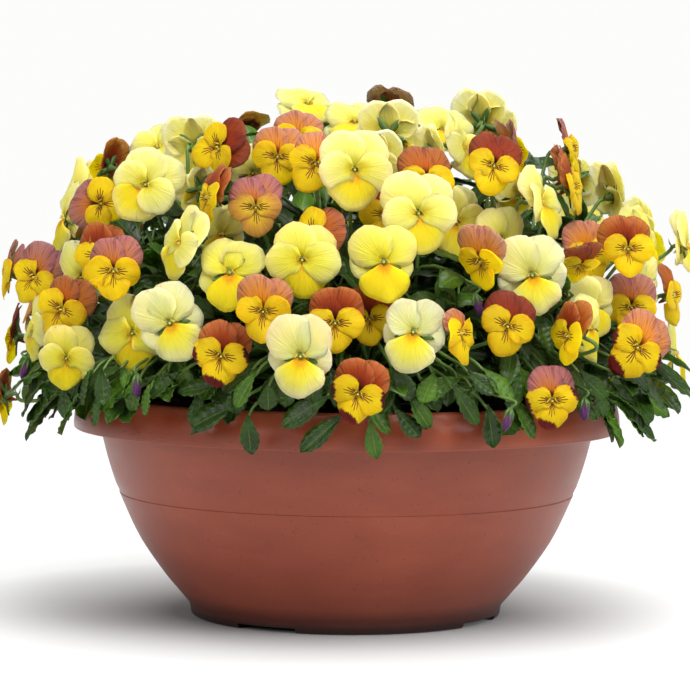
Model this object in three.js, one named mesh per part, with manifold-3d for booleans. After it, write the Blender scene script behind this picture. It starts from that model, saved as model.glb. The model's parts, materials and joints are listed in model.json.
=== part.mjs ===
// A round plastic bowl planter, 300 mm across its collar, filled with soil and planted with violas.
// Millimetres, +Z up, the front is towards -Y. The origin is the middle of the bowl's flat underside.
import * as THREE from "three";
import { mergeVertices } from "three/addons/utils/BufferGeometryUtils.js";
import Module from "manifold-3d";

const wasm = await Module();
wasm.setup();

const gap = 0.3; // clear space kept between two pieces that touch in the real planter
const leafGap = 0.6; // clear space kept between one plant and the next
const ownGap = 0.1; // clear space kept between two leaves of one plant
const potSpace = gap - 0.05; // clear space kept between a plant and the bowl or its soil
const sliver = 0.02; // joins leave no edge shorter than this
const turnSides = 36; // facets round the bowl and its soil

// Bowl: outside radius and height along the wall, from the foot to the rim
const wall = 2.5;
const floorThick = 4;
const footRadius = 85;
const footTop = { r: 86.3, z: 6.5 };
const wallOutside = [
  { r: 101, z: 24 }, { r: 112.7, z: 41 }, { r: 120.7, z: 57 }, { r: 128.3, z: 76 },
  { r: 134, z: 96 }, { r: 137.8, z: 116 },
];
const wallInside = [0, 2, 3, 5]; // the stations of that list that the inside follows
const floorCorner = 5.5; // how far the inside corner of the floor lies within the foot's top
const collar = { bottomR: 150, topR: 145, bottomZ: 103, topZ: 122.5, thick: 2.4, groove: 3 };
const collarFace = [ // up the collar's outside and over its rounded top edge
  { r: 150, z: 103 }, { r: 149.2, z: 114 }, { r: 146.6, z: 120.9 },
  { r: 144, z: 122.5 }, { r: 141.6, z: 121.9 },
];
const notch = { turn: 24, high: 2.5, inner: 48, centres: [-30, 60, 150, 240] };
const drain = { r: 5, at: 62, sides: 6 };
const cutPast = { side: 4, below: 1 }; // how far the cutters run past the plastic

// Soil and the holes that the plants stand in
const soilEdgeZ = 106;
const soilCrownZ = 109;
const hole = { r: 13, deep: 9, sides: 8 };

// Plants: one in the middle and a ring round it
const ringPlants = 6;
const ringRadius = 82;
const ringTurn = 30;
const reachOut = 2; // blooms of a ring plant stand about this many times further out than its foot

// Canopy: half widths at the soil, height over the soil, and how square its shoulders are
const canopy = { across: 188, deep: 178, high: 172, foot: 105, power: 2.5 };
const eye = new THREE.Vector3(0, -1780, 260); // where the planter is seen from when blooms are placed
const sight = { reach: 230, step: 1 }; // the part of a line of sight that can meet the canopy
const widest = { radius: 320, halvings: 24 }; // search for the canopy's skin from its middle

// Seeded random numbers
function seeded(seed) {
  let state = seed >>> 0;
  return () => {
    state = (state + 0x6d2b79f5) >>> 0;
    let t = state;
    t = Math.imul(t ^ (t >>> 15), t | 1);
    t ^= t + Math.imul(t ^ (t >>> 7), t | 61);
    return ((t ^ (t >>> 14)) >>> 0) / 4294967296;
  };
}

const rad = THREE.MathUtils.degToRad;
const vec = (x, y, z) => new THREE.Vector3(x, y, z);

// Solids
function solidFrom(points, triangles) {
  const mesh = new wasm.Mesh({
    numProp: 3,
    vertProperties: new Float32Array(points.flatMap((point) => point.toArray())),
    triVerts: new Uint32Array(triangles),
  });
  return new wasm.Manifold(mesh);
}

function solidOf(geometry) {
  geometry.deleteAttribute("normal");
  geometry.deleteAttribute("uv");
  const merged = mergeVertices(geometry, 1e-3);
  const corners = merged.index.array;
  const kept = [];
  for (let i = 0; i < corners.length; i += 3) {
    const [a, b, c] = corners.slice(i, i + 3);
    if (a !== b && b !== c && c !== a) kept.push(a, b, c);
  }
  const mesh = new wasm.Mesh({
    numProp: 3,
    vertProperties: merged.attributes.position.array,
    triVerts: new Uint32Array(kept),
  });
  return new wasm.Manifold(mesh);
}

function geometryOf(solid) {
  const mesh = solid.getMesh();
  const geometry = new THREE.BufferGeometry();
  geometry.setAttribute("position", new THREE.BufferAttribute(mesh.vertProperties, 3));
  geometry.setIndex(new THREE.BufferAttribute(mesh.triVerts, 1));
  return geometry;
}

const fuse = (solids) => solids.reduce((whole, solid) => whole.add(solid)).simplify(sliver);

// Bowl
function lathe(profile) {
  const points = profile.map(({ r, z }) => new THREE.Vector2(r, z));
  return solidOf(new THREE.LatheGeometry(points, turnSides).rotateX(Math.PI / 2));
}

function wallWithin(distance) {
  return wallInside.map((i) => ({ r: wallOutside[i].r - distance, z: wallOutside[i].z }));
}

const floorInside = { r: footTop.r - floorCorner, z: floorThick };

function makeBowl() {
  const { bottomR, topR, bottomZ, thick, groove } = collar;
  const wallTop = wallOutside.at(-1);
  const profile = [
    { r: 0, z: 0 }, { r: footRadius, z: 0 }, footTop, ...wallOutside,
    { r: topR - thick, z: wallTop.z + groove }, // top of the groove behind the collar
    { r: bottomR - thick, z: bottomZ },
    ...collarFace, ...wallWithin(wall).reverse(), floorInside, { r: 0, z: floorThick },
  ];
  const cutters = notch.centres.flatMap((centre) => [channel(centre), drainHole(centre)]);
  return cutters.reduce((bowl, cutter) => bowl.subtract(cutter), lathe(profile));
}

// A drain channel under the floor, widening out to a notch in the foot
function channel(centre) {
  const shape = new THREE.Shape();
  const outer = footRadius + cutPast.side;
  for (const [step, radius] of [[-0.5, notch.inner], [0.5, notch.inner], [0.5, outer], [-0.5, outer]]) {
    const angle = rad(centre + step * notch.turn);
    const corner = [radius * Math.sin(angle), -radius * Math.cos(angle)];
    if (step === -0.5 && radius === notch.inner) shape.moveTo(...corner);
    else shape.lineTo(...corner);
  }
  shape.closePath();
  const depth = notch.high + cutPast.below;
  const geometry = new THREE.ExtrudeGeometry(shape, { depth, bevelEnabled: false });
  return solidOf(geometry.translate(0, 0, -cutPast.below));
}

function drainHole(centre) {
  const { r, at, sides } = drain;
  const geometry = new THREE.CylinderGeometry(r, r, floorThick + cutPast.side, sides);
  const angle = rad(centre);
  geometry.rotateX(Math.PI / 2);
  return solidOf(geometry.translate(at * Math.sin(angle), -at * Math.cos(angle), floorThick / 2));
}

// Soil
const plants = [{ x: 0, y: 0 }];
for (let i = 0; i < ringPlants; i += 1) {
  const angle = rad(ringTurn + (i * 360) / ringPlants);
  plants.push({ x: ringRadius * Math.cos(angle), y: ringRadius * Math.sin(angle) });
}

function makeSoil() {
  const sides = wallWithin(wall + gap);
  const [low, high] = sides.slice(-2);
  const rim = { r: low.r + ((soilEdgeZ - low.z) * (high.r - low.r)) / (high.z - low.z), z: soilEdgeZ };
  const profile = [
    { r: 0, z: floorThick + gap }, { r: floorInside.r - gap, z: floorThick + gap },
    ...sides.slice(0, -1), rim, { r: 0, z: soilCrownZ },
  ];
  const holes = plants.map(({ x, y }) => {
    const geometry = new THREE.CylinderGeometry(hole.r, hole.r, hole.deep * 2, hole.sides);
    return solidOf(geometry.rotateX(Math.PI / 2).translate(x, y, soilCrownZ));
  });
  return holes.reduce((soil, cutter) => soil.subtract(cutter), lathe(profile));
}

// Blooms of the front half. x and z are the place across and up in mm as seen from the eye, in the plane
// of the bowl's axis. turn is the way the bloom faces, 0 towards the front and positive to the right; tip is
// how far it looks up; roll is how far its top leans clockwise; back is how far it lies behind the canopy's
// surface.
const pale = { name: "pale", upper: 21, side: 18.5, lip: 20.5 };
const golden = { name: "golden", upper: 18.5, side: 14, lip: 15.5 };
const frontBlooms = [
  { x: -133, z: 245, kind: golden, turn: -125, tip: 10 },
  { x: -109, z: 235, kind: pale, turn: -10, tip: 12, roll: 30, full: true },
  { x: -136, z: 220, kind: golden, turn: -15, roll: -85, full: true },
  { x: -150, z: 230, kind: pale, turn: -60, back: 25 },
  { x: -157, z: 217, kind: pale, turn: -70, back: 20 },
  { x: -106, z: 256, kind: pale, turn: -30, tip: 35, back: 30 },
  { x: -139, z: 197, kind: golden, turn: -20, back: 14 },
  { x: -172, z: 184, kind: golden, turn: -30, roll: 30, full: true },
  { x: -188, z: 181, kind: golden, turn: -80 },
  { x: -127, z: 180, kind: golden, turn: -8, full: true },
  { x: -156, z: 168, kind: golden, turn: -20, roll: 25, full: true },
  { x: -154, z: 141, kind: pale, turn: -12, tip: -4, roll: 3, size: 0.82, full: true },
  { x: -122, z: 161, kind: pale, turn: -15, back: 14 },
  { x: -173, z: 156, kind: pale, turn: -70, size: 0.9 },
  { x: -187, z: 145, kind: golden, turn: -90 },
  { x: -189, z: 130, kind: golden, turn: -100, tip: -10 },
  { x: -94, z: 161, kind: pale, turn: -5, roll: -25, full: true },
  { x: -147, z: 186, kind: pale, turn: -30, back: 24 },
  { x: -92, z: 205, kind: pale, turn: -60, roll: 20, full: true },
  { x: -84, z: 256, kind: pale, turn: 165, tip: 15, back: 20 },
  { x: -85, z: 237, kind: pale, turn: -150, back: 20, size: 0.8 },
  { x: -71, z: 252, kind: golden, turn: -35, roll: 70, full: true },
  { x: -39, z: 251, kind: golden, full: true },
  { x: -24, z: 263, kind: golden, tip: 25, back: 26 },
  { x: -20, z: 242, kind: golden, roll: 18, full: true },
  { x: -77, z: 225, kind: golden, turn: -65 },
  { x: -49, z: 221, kind: golden, roll: -5, full: true },
  { x: -17, z: 223, kind: golden, turn: -30, tip: 25, roll: 70, back: 10 },
  { x: -64, z: 183, kind: pale, tip: 25, full: true },
  { x: -54, z: 243, kind: pale, back: 24, size: 0.8 },
  { x: -71, z: 211, kind: pale, turn: -40, back: 20, size: 0.8 },
  { x: -23, z: 281, kind: pale, turn: 20, tip: 55, back: 30 },
  { x: -1, z: 270, kind: pale, tip: 50, back: 18 },
  { x: 23, z: 264, kind: pale, turn: 170, tip: 10, back: 10, full: true },
  { x: 18, z: 250, kind: pale, turn: 150, back: 16, size: 0.8 },
  { x: 52, z: 268, kind: pale, tip: 45, back: 22 },
  { x: 2, z: 233, kind: pale, turn: 10, tip: 5, full: true },
  { x: 21, z: 226, kind: golden, back: 14 },
  { x: 44, z: 233, kind: golden, full: true },
  { x: 49, z: 254, kind: pale, turn: 120, back: 14, size: 0.8 },
  { x: 62, z: 257, kind: pale, turn: 60, back: 14, size: 0.85 },
  { x: 46, z: 212, kind: pale, turn: 5, size: 1.08, full: true },
  { x: 62, z: 222, kind: pale, turn: 20, back: 18 },
  { x: 75, z: 235, kind: golden, turn: 8, roll: 15, full: true },
  { x: 63, z: 199, kind: golden, turn: -40, tip: -20 },
  { x: 74, z: 271, kind: pale, turn: 150, tip: 20, back: 10 },
  { x: 91, z: 256, kind: golden, turn: 110 },
  { x: 106, z: 229, kind: pale, turn: 65, full: true },
  { x: 122, z: 257, kind: golden, turn: 75 },
  { x: 121, z: 241, kind: golden, turn: 80, back: 10 },
  { x: 122, z: 225, kind: golden, turn: 75 },
  { x: 93, z: 230, kind: pale, turn: 20, tip: -40, back: 22, size: 0.75 },
  { x: 151, z: 226, kind: pale, turn: 115, back: 15, full: true },
  { x: 147, z: 193, kind: golden, turn: 10, roll: -5, full: true },
  { x: 163, z: 211, kind: pale, turn: 50, back: 8 },
  { x: 130, z: 193, kind: golden, turn: 20, tip: -50, back: 10, size: 0.8 },
  { x: 104, z: 180, kind: pale, turn: 5, roll: -8, size: 1.06, full: true },
  { x: 82, z: 163, kind: golden, turn: 5, roll: 20, full: true },
  { x: 65, z: 157, kind: golden, turn: 60 },
  { x: 32, z: 163, kind: pale, turn: -8, roll: 5, full: true },
  { x: 17, z: 188, kind: pale, turn: 5, tip: 12, full: true },
  { x: -17, z: 189, kind: pale, turn: -4, tip: 8, full: true },
  { x: -44, z: 166, kind: golden, roll: 5, full: true },
  { x: -7, z: 163, kind: golden, full: true },
  { x: -67, z: 145, kind: golden, turn: -6, roll: 8, full: true },
  { x: -28, z: 146, kind: pale, turn: -3, back: -8, full: true },
  { x: 3, z: 123, kind: golden, turn: 2, tip: -4, roll: 20, back: -4, full: true },
  { x: 115, z: 127, kind: golden, turn: 8, full: true },
  { x: 120, z: 154, kind: golden, turn: -60 },
  { x: 130, z: 157, kind: pale, turn: 50, size: 0.85 },
  { x: 159, z: 149, kind: golden, turn: 15, roll: 40, size: 1.15, full: true },
  { x: 154, z: 175, kind: golden, turn: 10, back: 14 },
  { x: 177, z: 178, kind: golden, turn: 70 },
  { x: 182, z: 205, kind: pale, turn: 70 },
  { x: 163, z: 184, kind: pale, turn: 30, back: 24, size: 0.8 },
  { x: 139, z: 176, kind: pale, turn: 20, back: 20, size: 0.8 },
  { x: 13, z: 167, kind: golden, turn: 10, back: 14, size: 0.9 },
  { x: 84, z: 214, kind: pale, turn: 20, back: 16, size: 0.85 },
  { x: 131, z: 209, kind: golden, turn: 30, back: 12 },
];

// Height of the canopy's skin: below 1 inside it, above 1 outside
function canopyLevel({ x, y, z }) {
  const level = Math.hypot(x / canopy.across, y / canopy.deep) ** canopy.power;
  return level + Math.max(0, (z - canopy.foot) / canopy.high) ** canopy.power;
}

// The place where the line from the eye through (x, z) meets the canopy's skin, then back mm further on
function placeSeen({ x, z, back = 0 }) {
  const line = vec(x, 0, z).sub(eye).normalize();
  const start = eye.length() - sight.reach;
  let nearest = { level: Infinity, along: start };
  for (let along = start; along < start + sight.reach; along += sight.step) {
    const level = canopyLevel(eye.clone().addScaledVector(line, along));
    if (level < nearest.level) nearest = { level, along };
    if (level <= 1) break;
  }
  return eye.clone().addScaledVector(line, nearest.along + back);
}

// Way out of the canopy at a place
function outward({ x, y, z }) {
  const flat = vec(x / canopy.across, y / canopy.deep, 0);
  const up = Math.max(0, (z - canopy.foot) / canopy.high) ** (canopy.power - 1);
  const side = flat.length() ** (canopy.power - 1);
  return flat.normalize().multiplyScalar(side).add(vec(0, 0, up)).normalize();
}

// Blooms of the back and the sides that the front list leaves bare: evenly spread, then jittered
const spread = {
  tries: 420, apart: 44, behind: 18, jitter: 10, paleShare: 0.55, lowest: 125,
  goldenTurn: 2.399963, turn: 70, roll: 60, tip: 25, tipDown: 5, tipTop: 45, seed: 31,
};

function backBlooms(taken) {
  const random = seeded(spread.seed);
  const added = [];
  for (let i = 0; i < spread.tries; i += 1) {
    const turnRound = i * spread.goldenTurn;
    const level = 1 - (i + 0.5) / spread.tries;
    const tall = Math.sqrt(Math.max(0, 1 - (1 - level) ** 2));
    const direction = vec(Math.cos(turnRound) * tall, Math.sin(turnRound) * tall, 1 - level);
    const place = skinAlong(direction);
    place.x += (random() - 0.5) * spread.jitter;
    place.y += (random() - 0.5) * spread.jitter;
    place.z += (random() - 0.5) * spread.jitter;
    const kind = random() < spread.paleShare ? pale : golden;
    const turnOff = (random() - 0.5) * spread.turn;
    const roll = (random() - 0.5) * spread.roll;
    const tipOff = random() * spread.tip - spread.tipDown;
    if (place.y < spread.behind || place.z < spread.lowest) continue;
    if ([...taken, ...added].some((bloom) => bloom.place.distanceTo(place) < spread.apart)) continue;
    const out = outward(place);
    const turn = THREE.MathUtils.radToDeg(Math.atan2(out.x, -out.y)) + turnOff;
    added.push({ place, kind, turn, tip: tipOff + spread.tipTop * out.z ** 2, roll, full: false });
  }
  return added;
}

function skinAlong(direction) {
  const middle = vec(0, 0, canopy.foot);
  let near = 0;
  let far = widest.radius;
  for (let i = 0; i < widest.halvings; i += 1) {
    const half = (near + far) / 2;
    if (canopyLevel(middle.clone().addScaledVector(direction, half)) < 1) near = half;
    else far = half;
  }
  return middle.addScaledVector(direction, near);
}

function poseOf(bloom) {
  const turn = rad(bloom.turn);
  const tip = rad(bloom.tip);
  const roll = rad(bloom.roll);
  const face = vec(Math.sin(turn) * Math.cos(tip), -Math.cos(turn) * Math.cos(tip), Math.sin(tip));
  const across = vec(0, 0, 1).cross(face).normalize();
  const up = face.clone().cross(across);
  const top = up.clone().multiplyScalar(Math.cos(roll)).addScaledVector(across, Math.sin(roll));
  const right = across.multiplyScalar(Math.cos(roll)).addScaledVector(up, -Math.sin(roll));
  return { face, top, right };
}

// Where no turn or tip is given, blooms face further aside and further up the further out they stand
const facing = { turn: 0.15, tip: 6, level: 180, rise: 0.08 };

function listBlooms() {
  const front = frontBlooms.map((entry) => ({
    turn: entry.x * facing.turn, tip: facing.tip + (entry.z - facing.level) * facing.rise,
    roll: 0, size: 1, full: false, ...entry, place: placeSeen(entry),
  }));
  const all = [...front, ...backBlooms(front).map((entry) => ({ size: 1, ...entry }))];
  for (const bloom of all) Object.assign(bloom, poseOf(bloom));
  settle(all);
  return all;
}

// Blooms that would touch move apart, mostly along the line of sight, so each keeps its place in the view
const settling = { rounds: 90, half: 8.5, share: 0.5, sideways: 0.4, nudges: 14, nudge: 1.2 };

function reach(bloom, direction) {
  const radius = bloom.size * bloom.kind.upper;
  const along = Math.abs(bloom.face.dot(direction));
  const aside = Math.sqrt(Math.max(0, 1 - along * along));
  return 1 / Math.hypot(aside / radius, along / (settling.half * bloom.size));
}

function settle(blooms) {
  for (let round = 0; round < settling.rounds; round += 1) {
    for (let i = 0; i < blooms.length; i += 1) {
      for (let j = i + 1; j < blooms.length; j += 1) {
        const apart = blooms[j].place.clone().sub(blooms[i].place);
        const distance = apart.length();
        const direction = apart.clone().normalize();
        const short = reach(blooms[i], direction) + reach(blooms[j], direction) - distance;
        if (short <= 0) continue;
        const push = direction.clone().multiply(vec(settling.sideways, 1, settling.sideways)).normalize();
        blooms[j].place.addScaledVector(push, short * settling.share);
        blooms[i].place.addScaledVector(push, -short * settling.share);
      }
    }
  }
}

// Petals in order round the bloom, clockwise from the top as seen from its face. near and far are the depths
// of the petal's first and last edge; lean tips it forward.
const petals = [
  { long: "upper", near: -1.2, far: 0.4, lean: -0.16 },
  { long: "side", near: 1.4, far: 0.6, lean: 0.02 },
  { long: "lip", near: 2.2, far: 2.2, lean: 0.12 },
  { long: "side", near: 0.6, far: 1.4, lean: 0.02 },
  { long: "upper", near: 1.6, far: -0.8, lean: -0.1 },
];
const roots = [-2, 66, 140, 220, 294]; // directions between the petals, where their roots meet
const slit = 1.5; // degrees between a petal's edge and the root direction, so that no petal cuts the next
const fullEdge = [[-1, 0.8], [-0.4, 0.99], [0.4, 0.99], [1, 0.8]]; // shares of the petal's turn and length
const plainEdge = [[-1, 0.84], [0, 1], [1, 0.84]];
const swell = { at: 0.5, front: 0.8, back: 0.6 }; // where a full petal is thickest, and how thick
const throat = { r: 2.6, front: 1.1, back: -1.3, calyx: -4.5 };
// joint: where a stalk ends inside another
const stalkRadius = { calyx: 1.7, stalk: 1.15, foot: 1.4, joint: 0.45 };
const aroundStalk = [0, 120, 240];

// A bloom on its stalk, as one closed skin. stalk lists the stalk's points after the calyx, down to its foot.
function makeBloom(bloom, stalk, endRadius = stalkRadius.joint) {
  const { place, right, top, face, kind, size, full } = bloom;
  const points = [];
  const triangles = [];
  const add = (point) => points.push(point) - 1;
  const at = (deg, radius, depth) => {
    const angle = rad(deg);
    const point = place.clone().addScaledVector(right, size * radius * Math.sin(angle));
    point.addScaledVector(top, size * radius * Math.cos(angle));
    return point.addScaledVector(face, size * depth);
  };
  const front = roots.map((deg) => add(at(deg, throat.r, throat.front)));
  const back = roots.map((deg) => add(at(deg, throat.r, throat.back)));
  petals.forEach((petal, k) => {
    const next = (k + 1) % petals.length;
    const long = kind[petal.long];
    const turnTo = roots[next] + (next === 0 ? 360 : 0);
    const middleTurn = (roots[k] + turnTo) / 2;
    const halfTurn = (turnTo - roots[k]) / 2 - slit;
    const edge = (full ? fullEdge : plainEdge).map(([across, along]) => {
      const deg = middleTurn + across * halfTurn;
      const depth = petal.near + ((across + 1) / 2) * (petal.far - petal.near);
      const leaning = petal.lean * long * along * Math.cos(rad(across * halfTurn));
      return add(at(deg, along * long, leaning + depth));
    });
    const ring = [front[k], ...edge, front[next]];
    const ringBack = [back[k], ...edge, back[next]];
    if (full) {
      const middle = petal.lean * long * swell.at + (petal.near + petal.far) / 2;
      const faceTop = add(at(middleTurn, long * swell.at, middle + swell.front));
      const faceBack = add(at(middleTurn, long * swell.at, middle - swell.back));
      for (let i = 0; i < ring.length; i += 1) {
        const after = (i + 1) % ring.length;
        triangles.push(ring[after], ring[i], faceTop, ringBack[i], ringBack[after], faceBack);
      }
    } else {
      for (let i = 1; i < ring.length - 1; i += 1) {
        triangles.push(ring[0], ring[i + 1], ring[i], ringBack[0], ringBack[i], ringBack[i + 1]);
      }
    }
    triangles.push(front[k], edge[0], back[k], front[next], back[next], edge.at(-1));
  });
  for (let k = 1; k < roots.length - 1; k += 1) triangles.push(front[0], front[k + 1], front[k]);

  // The calyx draws the five roots together into the three sides of the stalk
  const centre = at(0, 0, throat.calyx);
  const offsets = aroundStalk.map((deg) => at(deg, 1, throat.calyx).sub(centre).normalize());
  const ring = offsets.map((offset) => add(centre.clone().addScaledVector(offset, stalkRadius.calyx)));
  const steps = [[0, 1, 0], [1, 2, 1], [2, 3, 1], [3, 4, 2], [4, 0, 2]];
  for (const [from, to, side] of steps) triangles.push(back[from], back[to], ring[side]);
  triangles.push(ring[0], back[1], ring[1], ring[1], back[3], ring[2], ring[2], back[0], ring[0]);

  addStalk(points, triangles, ring, offsets, face.clone().negate(), [centre, ...stalk], endRadius);
  return solidFrom(points, triangles);
}

// Continues a skin from a three-cornered ring down a three-sided stalk along a route, and closes its foot
function addStalk(points, triangles, topRing, offsets, topHeading, route, endRadius) {
  let ring = topRing;
  let heading = topHeading;
  for (let j = 1; j < route.length; j += 1) {
    const last = j === route.length - 1;
    const ahead = route[last ? j : j + 1].clone().sub(route[j - 1]).normalize();
    const swing = new THREE.Quaternion().setFromUnitVectors(heading, ahead);
    for (const offset of offsets) offset.applyQuaternion(swing);
    heading = ahead;
    const radius = last ? endRadius : stalkRadius.stalk;
    const corners = offsets.map((offset) => route[j].clone().addScaledVector(offset, radius));
    const lower = corners.map((corner) => points.push(corner) - 1);
    for (let i = 0; i < 3; i += 1) {
      const after = (i + 1) % 3;
      triangles.push(ring[i], ring[after], lower[after], ring[i], lower[after], lower[i]);
    }
    ring = lower;
  }
  triangles.push(...ring);
}

// Sprays: the blooms of one kind on one plant, two or three to a flowering stem
const bloomsToSpray = 3;
const flowerStem = {
  tries: 400, bend: 30, swing: 9, neck: 16, fork: 0.4, forkLoose: 0.3, joints: [0.25, 0.6],
  behind: 15, drop: 5, stub: 9, fromEdge: 3.5, seed: 7,
};
// How far a stalk keeps behind its own petals: at their edge, and near the throat, out to a given radius
const clearOfPetals = { edge: -5, throat: -4, radius: 3, aside: 2, step: 0.1 };
const middleShare = 0.46; // share of the canopy's half width whose blooms grow from the middle plant
const sortPoint = 0.9; // the blooms of a plant are taken in turn round this share of its place

const farFrom = (plant, x, y) => Math.hypot(plant.x * reachOut - x, plant.y * reachOut - y);

function plantOf({ x, y }) {
  if (Math.hypot(x / canopy.across, y / canopy.deep) < middleShare) return 0;
  let nearest = 1;
  for (let i = 2; i < plants.length; i += 1) {
    if (farFrom(plants[i], x, y) < farFrom(plants[nearest], x, y)) nearest = i;
  }
  return nearest;
}

function groupSprays(blooms) {
  const sprays = [];
  plants.forEach((plant, i) => {
    for (const kind of [pale, golden]) {
      const own = blooms.filter((bloom) => bloom.kind === kind && plantOf(bloom.place) === i);
      const [midX, midY] = [plant.x * sortPoint, plant.y * sortPoint];
      const round = ({ place }) => Math.atan2(place.y - midY, place.x - midX);
      own.sort((a, b) => round(a) - round(b));
      const count = Math.ceil(own.length / bloomsToSpray);
      for (let k = 0; k < count; k += 1) {
        const from = Math.round((k * own.length) / count);
        const to = Math.round(((k + 1) * own.length) / count);
        const name = `${kind.name}_spray_${sprays.length}`;
        sprays.push({ name, plant: i, kind, blooms: own.slice(from, to) });
      }
    }
  });
  return sprays;
}

// Pieces already placed, each with its box, so that a new piece can be kept clear of them
const placed = [];

function boxOf(solid) {
  const { min, max } = solid.boundingBox();
  return new THREE.Box3(vec(...min), vec(...max));
}

function isClear(solid, owner, joined) {
  const box = boxOf(solid).expandByScalar(leafGap);
  return placed.every((other) => {
    if (joined(other) || !box.intersectsBox(other.box)) return true;
    const space = other.owner === owner ? ownGap : other.space;
    return solid.minGap(other.solid, space) >= space;
  });
}

function setDown(solid, owner, space = leafGap) {
  const piece = { solid, owner, space, box: boxOf(solid) };
  placed.push(piece);
  return piece;
}

function drawnAround(random, distance) {
  return vec(random() - 0.5, random() - 0.5, random() - 0.5).multiplyScalar(2 * distance);
}

// The stalks of a spray: the first runs down into the soil, and the others join it at its fork
function sprayStalks(blooms, foot, random, loose) {
  const behind = blooms.map(({ place, face, size }) => {
    const point = place.clone().addScaledVector(face, -flowerStem.behind * size);
    return point.add(vec(0, 0, -flowerStem.drop)).add(drawnAround(random, flowerStem.swing * loose));
  });
  const neck = foot.clone().add(vec(0, 0, flowerStem.neck));
  const middle = behind.reduce((sum, point) => sum.add(point), vec(0, 0, 0)).divideScalar(behind.length);
  const share = flowerStem.fork + (random() - 0.5) * flowerStem.forkLoose * loose;
  const fork = neck.clone().lerp(middle, share).add(drawnAround(random, flowerStem.bend * loose));
  return behind.map((point, i) => {
    if (i === 0) return [point, fork, neck, foot];
    return [point, fork.clone().lerp(neck, flowerStem.joints[i - 1])];
  });
}

// Whether a stalk keeps out of its own bloom's petals
function passesBehind({ place, face, size, kind }, stalk) {
  const { edge, radius, step } = clearOfPetals;
  const within = kind.upper * size + clearOfPetals.aside;
  let from = place.clone().addScaledVector(face, throat.calyx * size);
  return stalk.every((to) => {
    for (let share = step; share <= 1; share += step) {
      const off = from.clone().lerp(to, share).sub(place);
      const depth = off.dot(face);
      const aside = off.addScaledVector(face, -depth).length();
      if (depth > edge * size && aside < within && aside > radius) return false;
      if (depth > clearOfPetals.throat * size && aside <= radius) return false;
    }
    from = to;
    return true;
  });
}

function stubOf(bloom) {
  const { place, face, size } = bloom;
  return makeBloom(bloom, [place.clone().addScaledVector(face, -flowerStem.stub * size)]);
}

// Blooms of two sprays that still touch are nudged apart
function partBlooms(sprays) {
  const all = sprays.flatMap((spray) => spray.blooms.map((bloom) => ({ bloom, owner: spray.name })));
  for (let round = 0; round < settling.nudges; round += 1) {
    for (const item of all) {
      item.solid = stubOf(item.bloom);
      item.box = boxOf(item.solid).expandByScalar(leafGap);
    }
    all.forEach((one, i) => all.slice(i + 1).forEach((other) => {
      if (one.owner === other.owner || !one.box.intersectsBox(other.box)) return;
      if (one.solid.minGap(other.solid, leafGap) >= leafGap) return;
      const push = other.bloom.place.clone().sub(one.bloom.place).normalize().multiplyScalar(settling.nudge);
      other.bloom.place.add(push);
      one.bloom.place.sub(push);
    }));
  }
}

function makeSprays(sprays) {
  const random = seeded(flowerStem.seed);
  const slots = plants.map((plant, i) => sprays.filter((spray) => spray.plant === i).length);
  const used = plants.map(() => 0);
  partBlooms(sprays);
  const stubs = sprays.map((spray) => spray.blooms.map((bloom) => setDown(stubOf(bloom), spray.name)));
  sprays.forEach((spray, n) => {
    const plant = plants[spray.plant];
    const angle = (used[spray.plant] * 2 * Math.PI) / slots[spray.plant];
    used[spray.plant] += 1;
    const ring = hole.r - flowerStem.fromEdge;
    const [footX, footY] = [plant.x + ring * Math.cos(angle), plant.y + ring * Math.sin(angle)];
    const foot = vec(footX, footY, soilCrownZ - hole.deep + gap);
    let solids = [];
    let clear = false;
    for (let i = 0; i < flowerStem.tries && !clear; i += 1) {
      const stalks = sprayStalks(spray.blooms, foot, random, i / flowerStem.tries);
      const ends = spray.blooms.map((bloom, k) => (k === 0 ? stalkRadius.foot : stalkRadius.joint));
      solids = spray.blooms.map((bloom, k) => makeBloom(bloom, stalks[k], ends[k]));
      clear = spray.blooms.every((bloom, k) => passesBehind(bloom, stalks[k]))
        && solids.every((solid) => isClear(solid, spray.name, (other) => other.owner === spray.name));
    }
    for (const piece of stubs[n]) placed.splice(placed.indexOf(piece), 1);
    for (const solid of solids) setDown(solid, spray.name);
    spray.solid = fuse(solids);
  });
}

// Leaves of the front that hang over the collar or stand at it, from root to tip, seen from the eye
const frontLeaves = [
  { from: [-166, 126], to: [-184, 114] }, { from: [-158, 120], to: [-178, 106] },
  { from: [-147, 119], to: [-160, 100] }, { from: [-164, 137], to: [-184, 129] },
  { from: [-136, 121], to: [-141, 103], narrow: true }, { from: [-124, 134], to: [-146, 126] },
  { from: [-114, 130], to: [-121, 112] }, { from: [-57, 116], to: [-86, 103] },
  { from: [-67, 127], to: [-92, 119] }, { from: [-55, 110], to: [-54, 88], narrow: true },
  { from: [-9, 120], to: [-36, 105] }, { from: [-1, 110], to: [-24, 89] },
  { from: [13, 107], to: [16, 86] }, { from: [26, 113], to: [39, 97] },
  { from: [33, 121], to: [45, 103] }, { from: [63, 130], to: [40, 122] },
  { from: [77, 116], to: [82, 93] }, { from: [91, 117], to: [105, 98] },
  { from: [86, 121], to: [93, 146] }, { from: [112, 144], to: [106, 160] },
  { from: [149, 131], to: [167, 134] }, { from: [143, 123], to: [160, 116] },
  { from: [146, 118], to: [166, 105] }, { from: [136, 116], to: [150, 100] },
];
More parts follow.
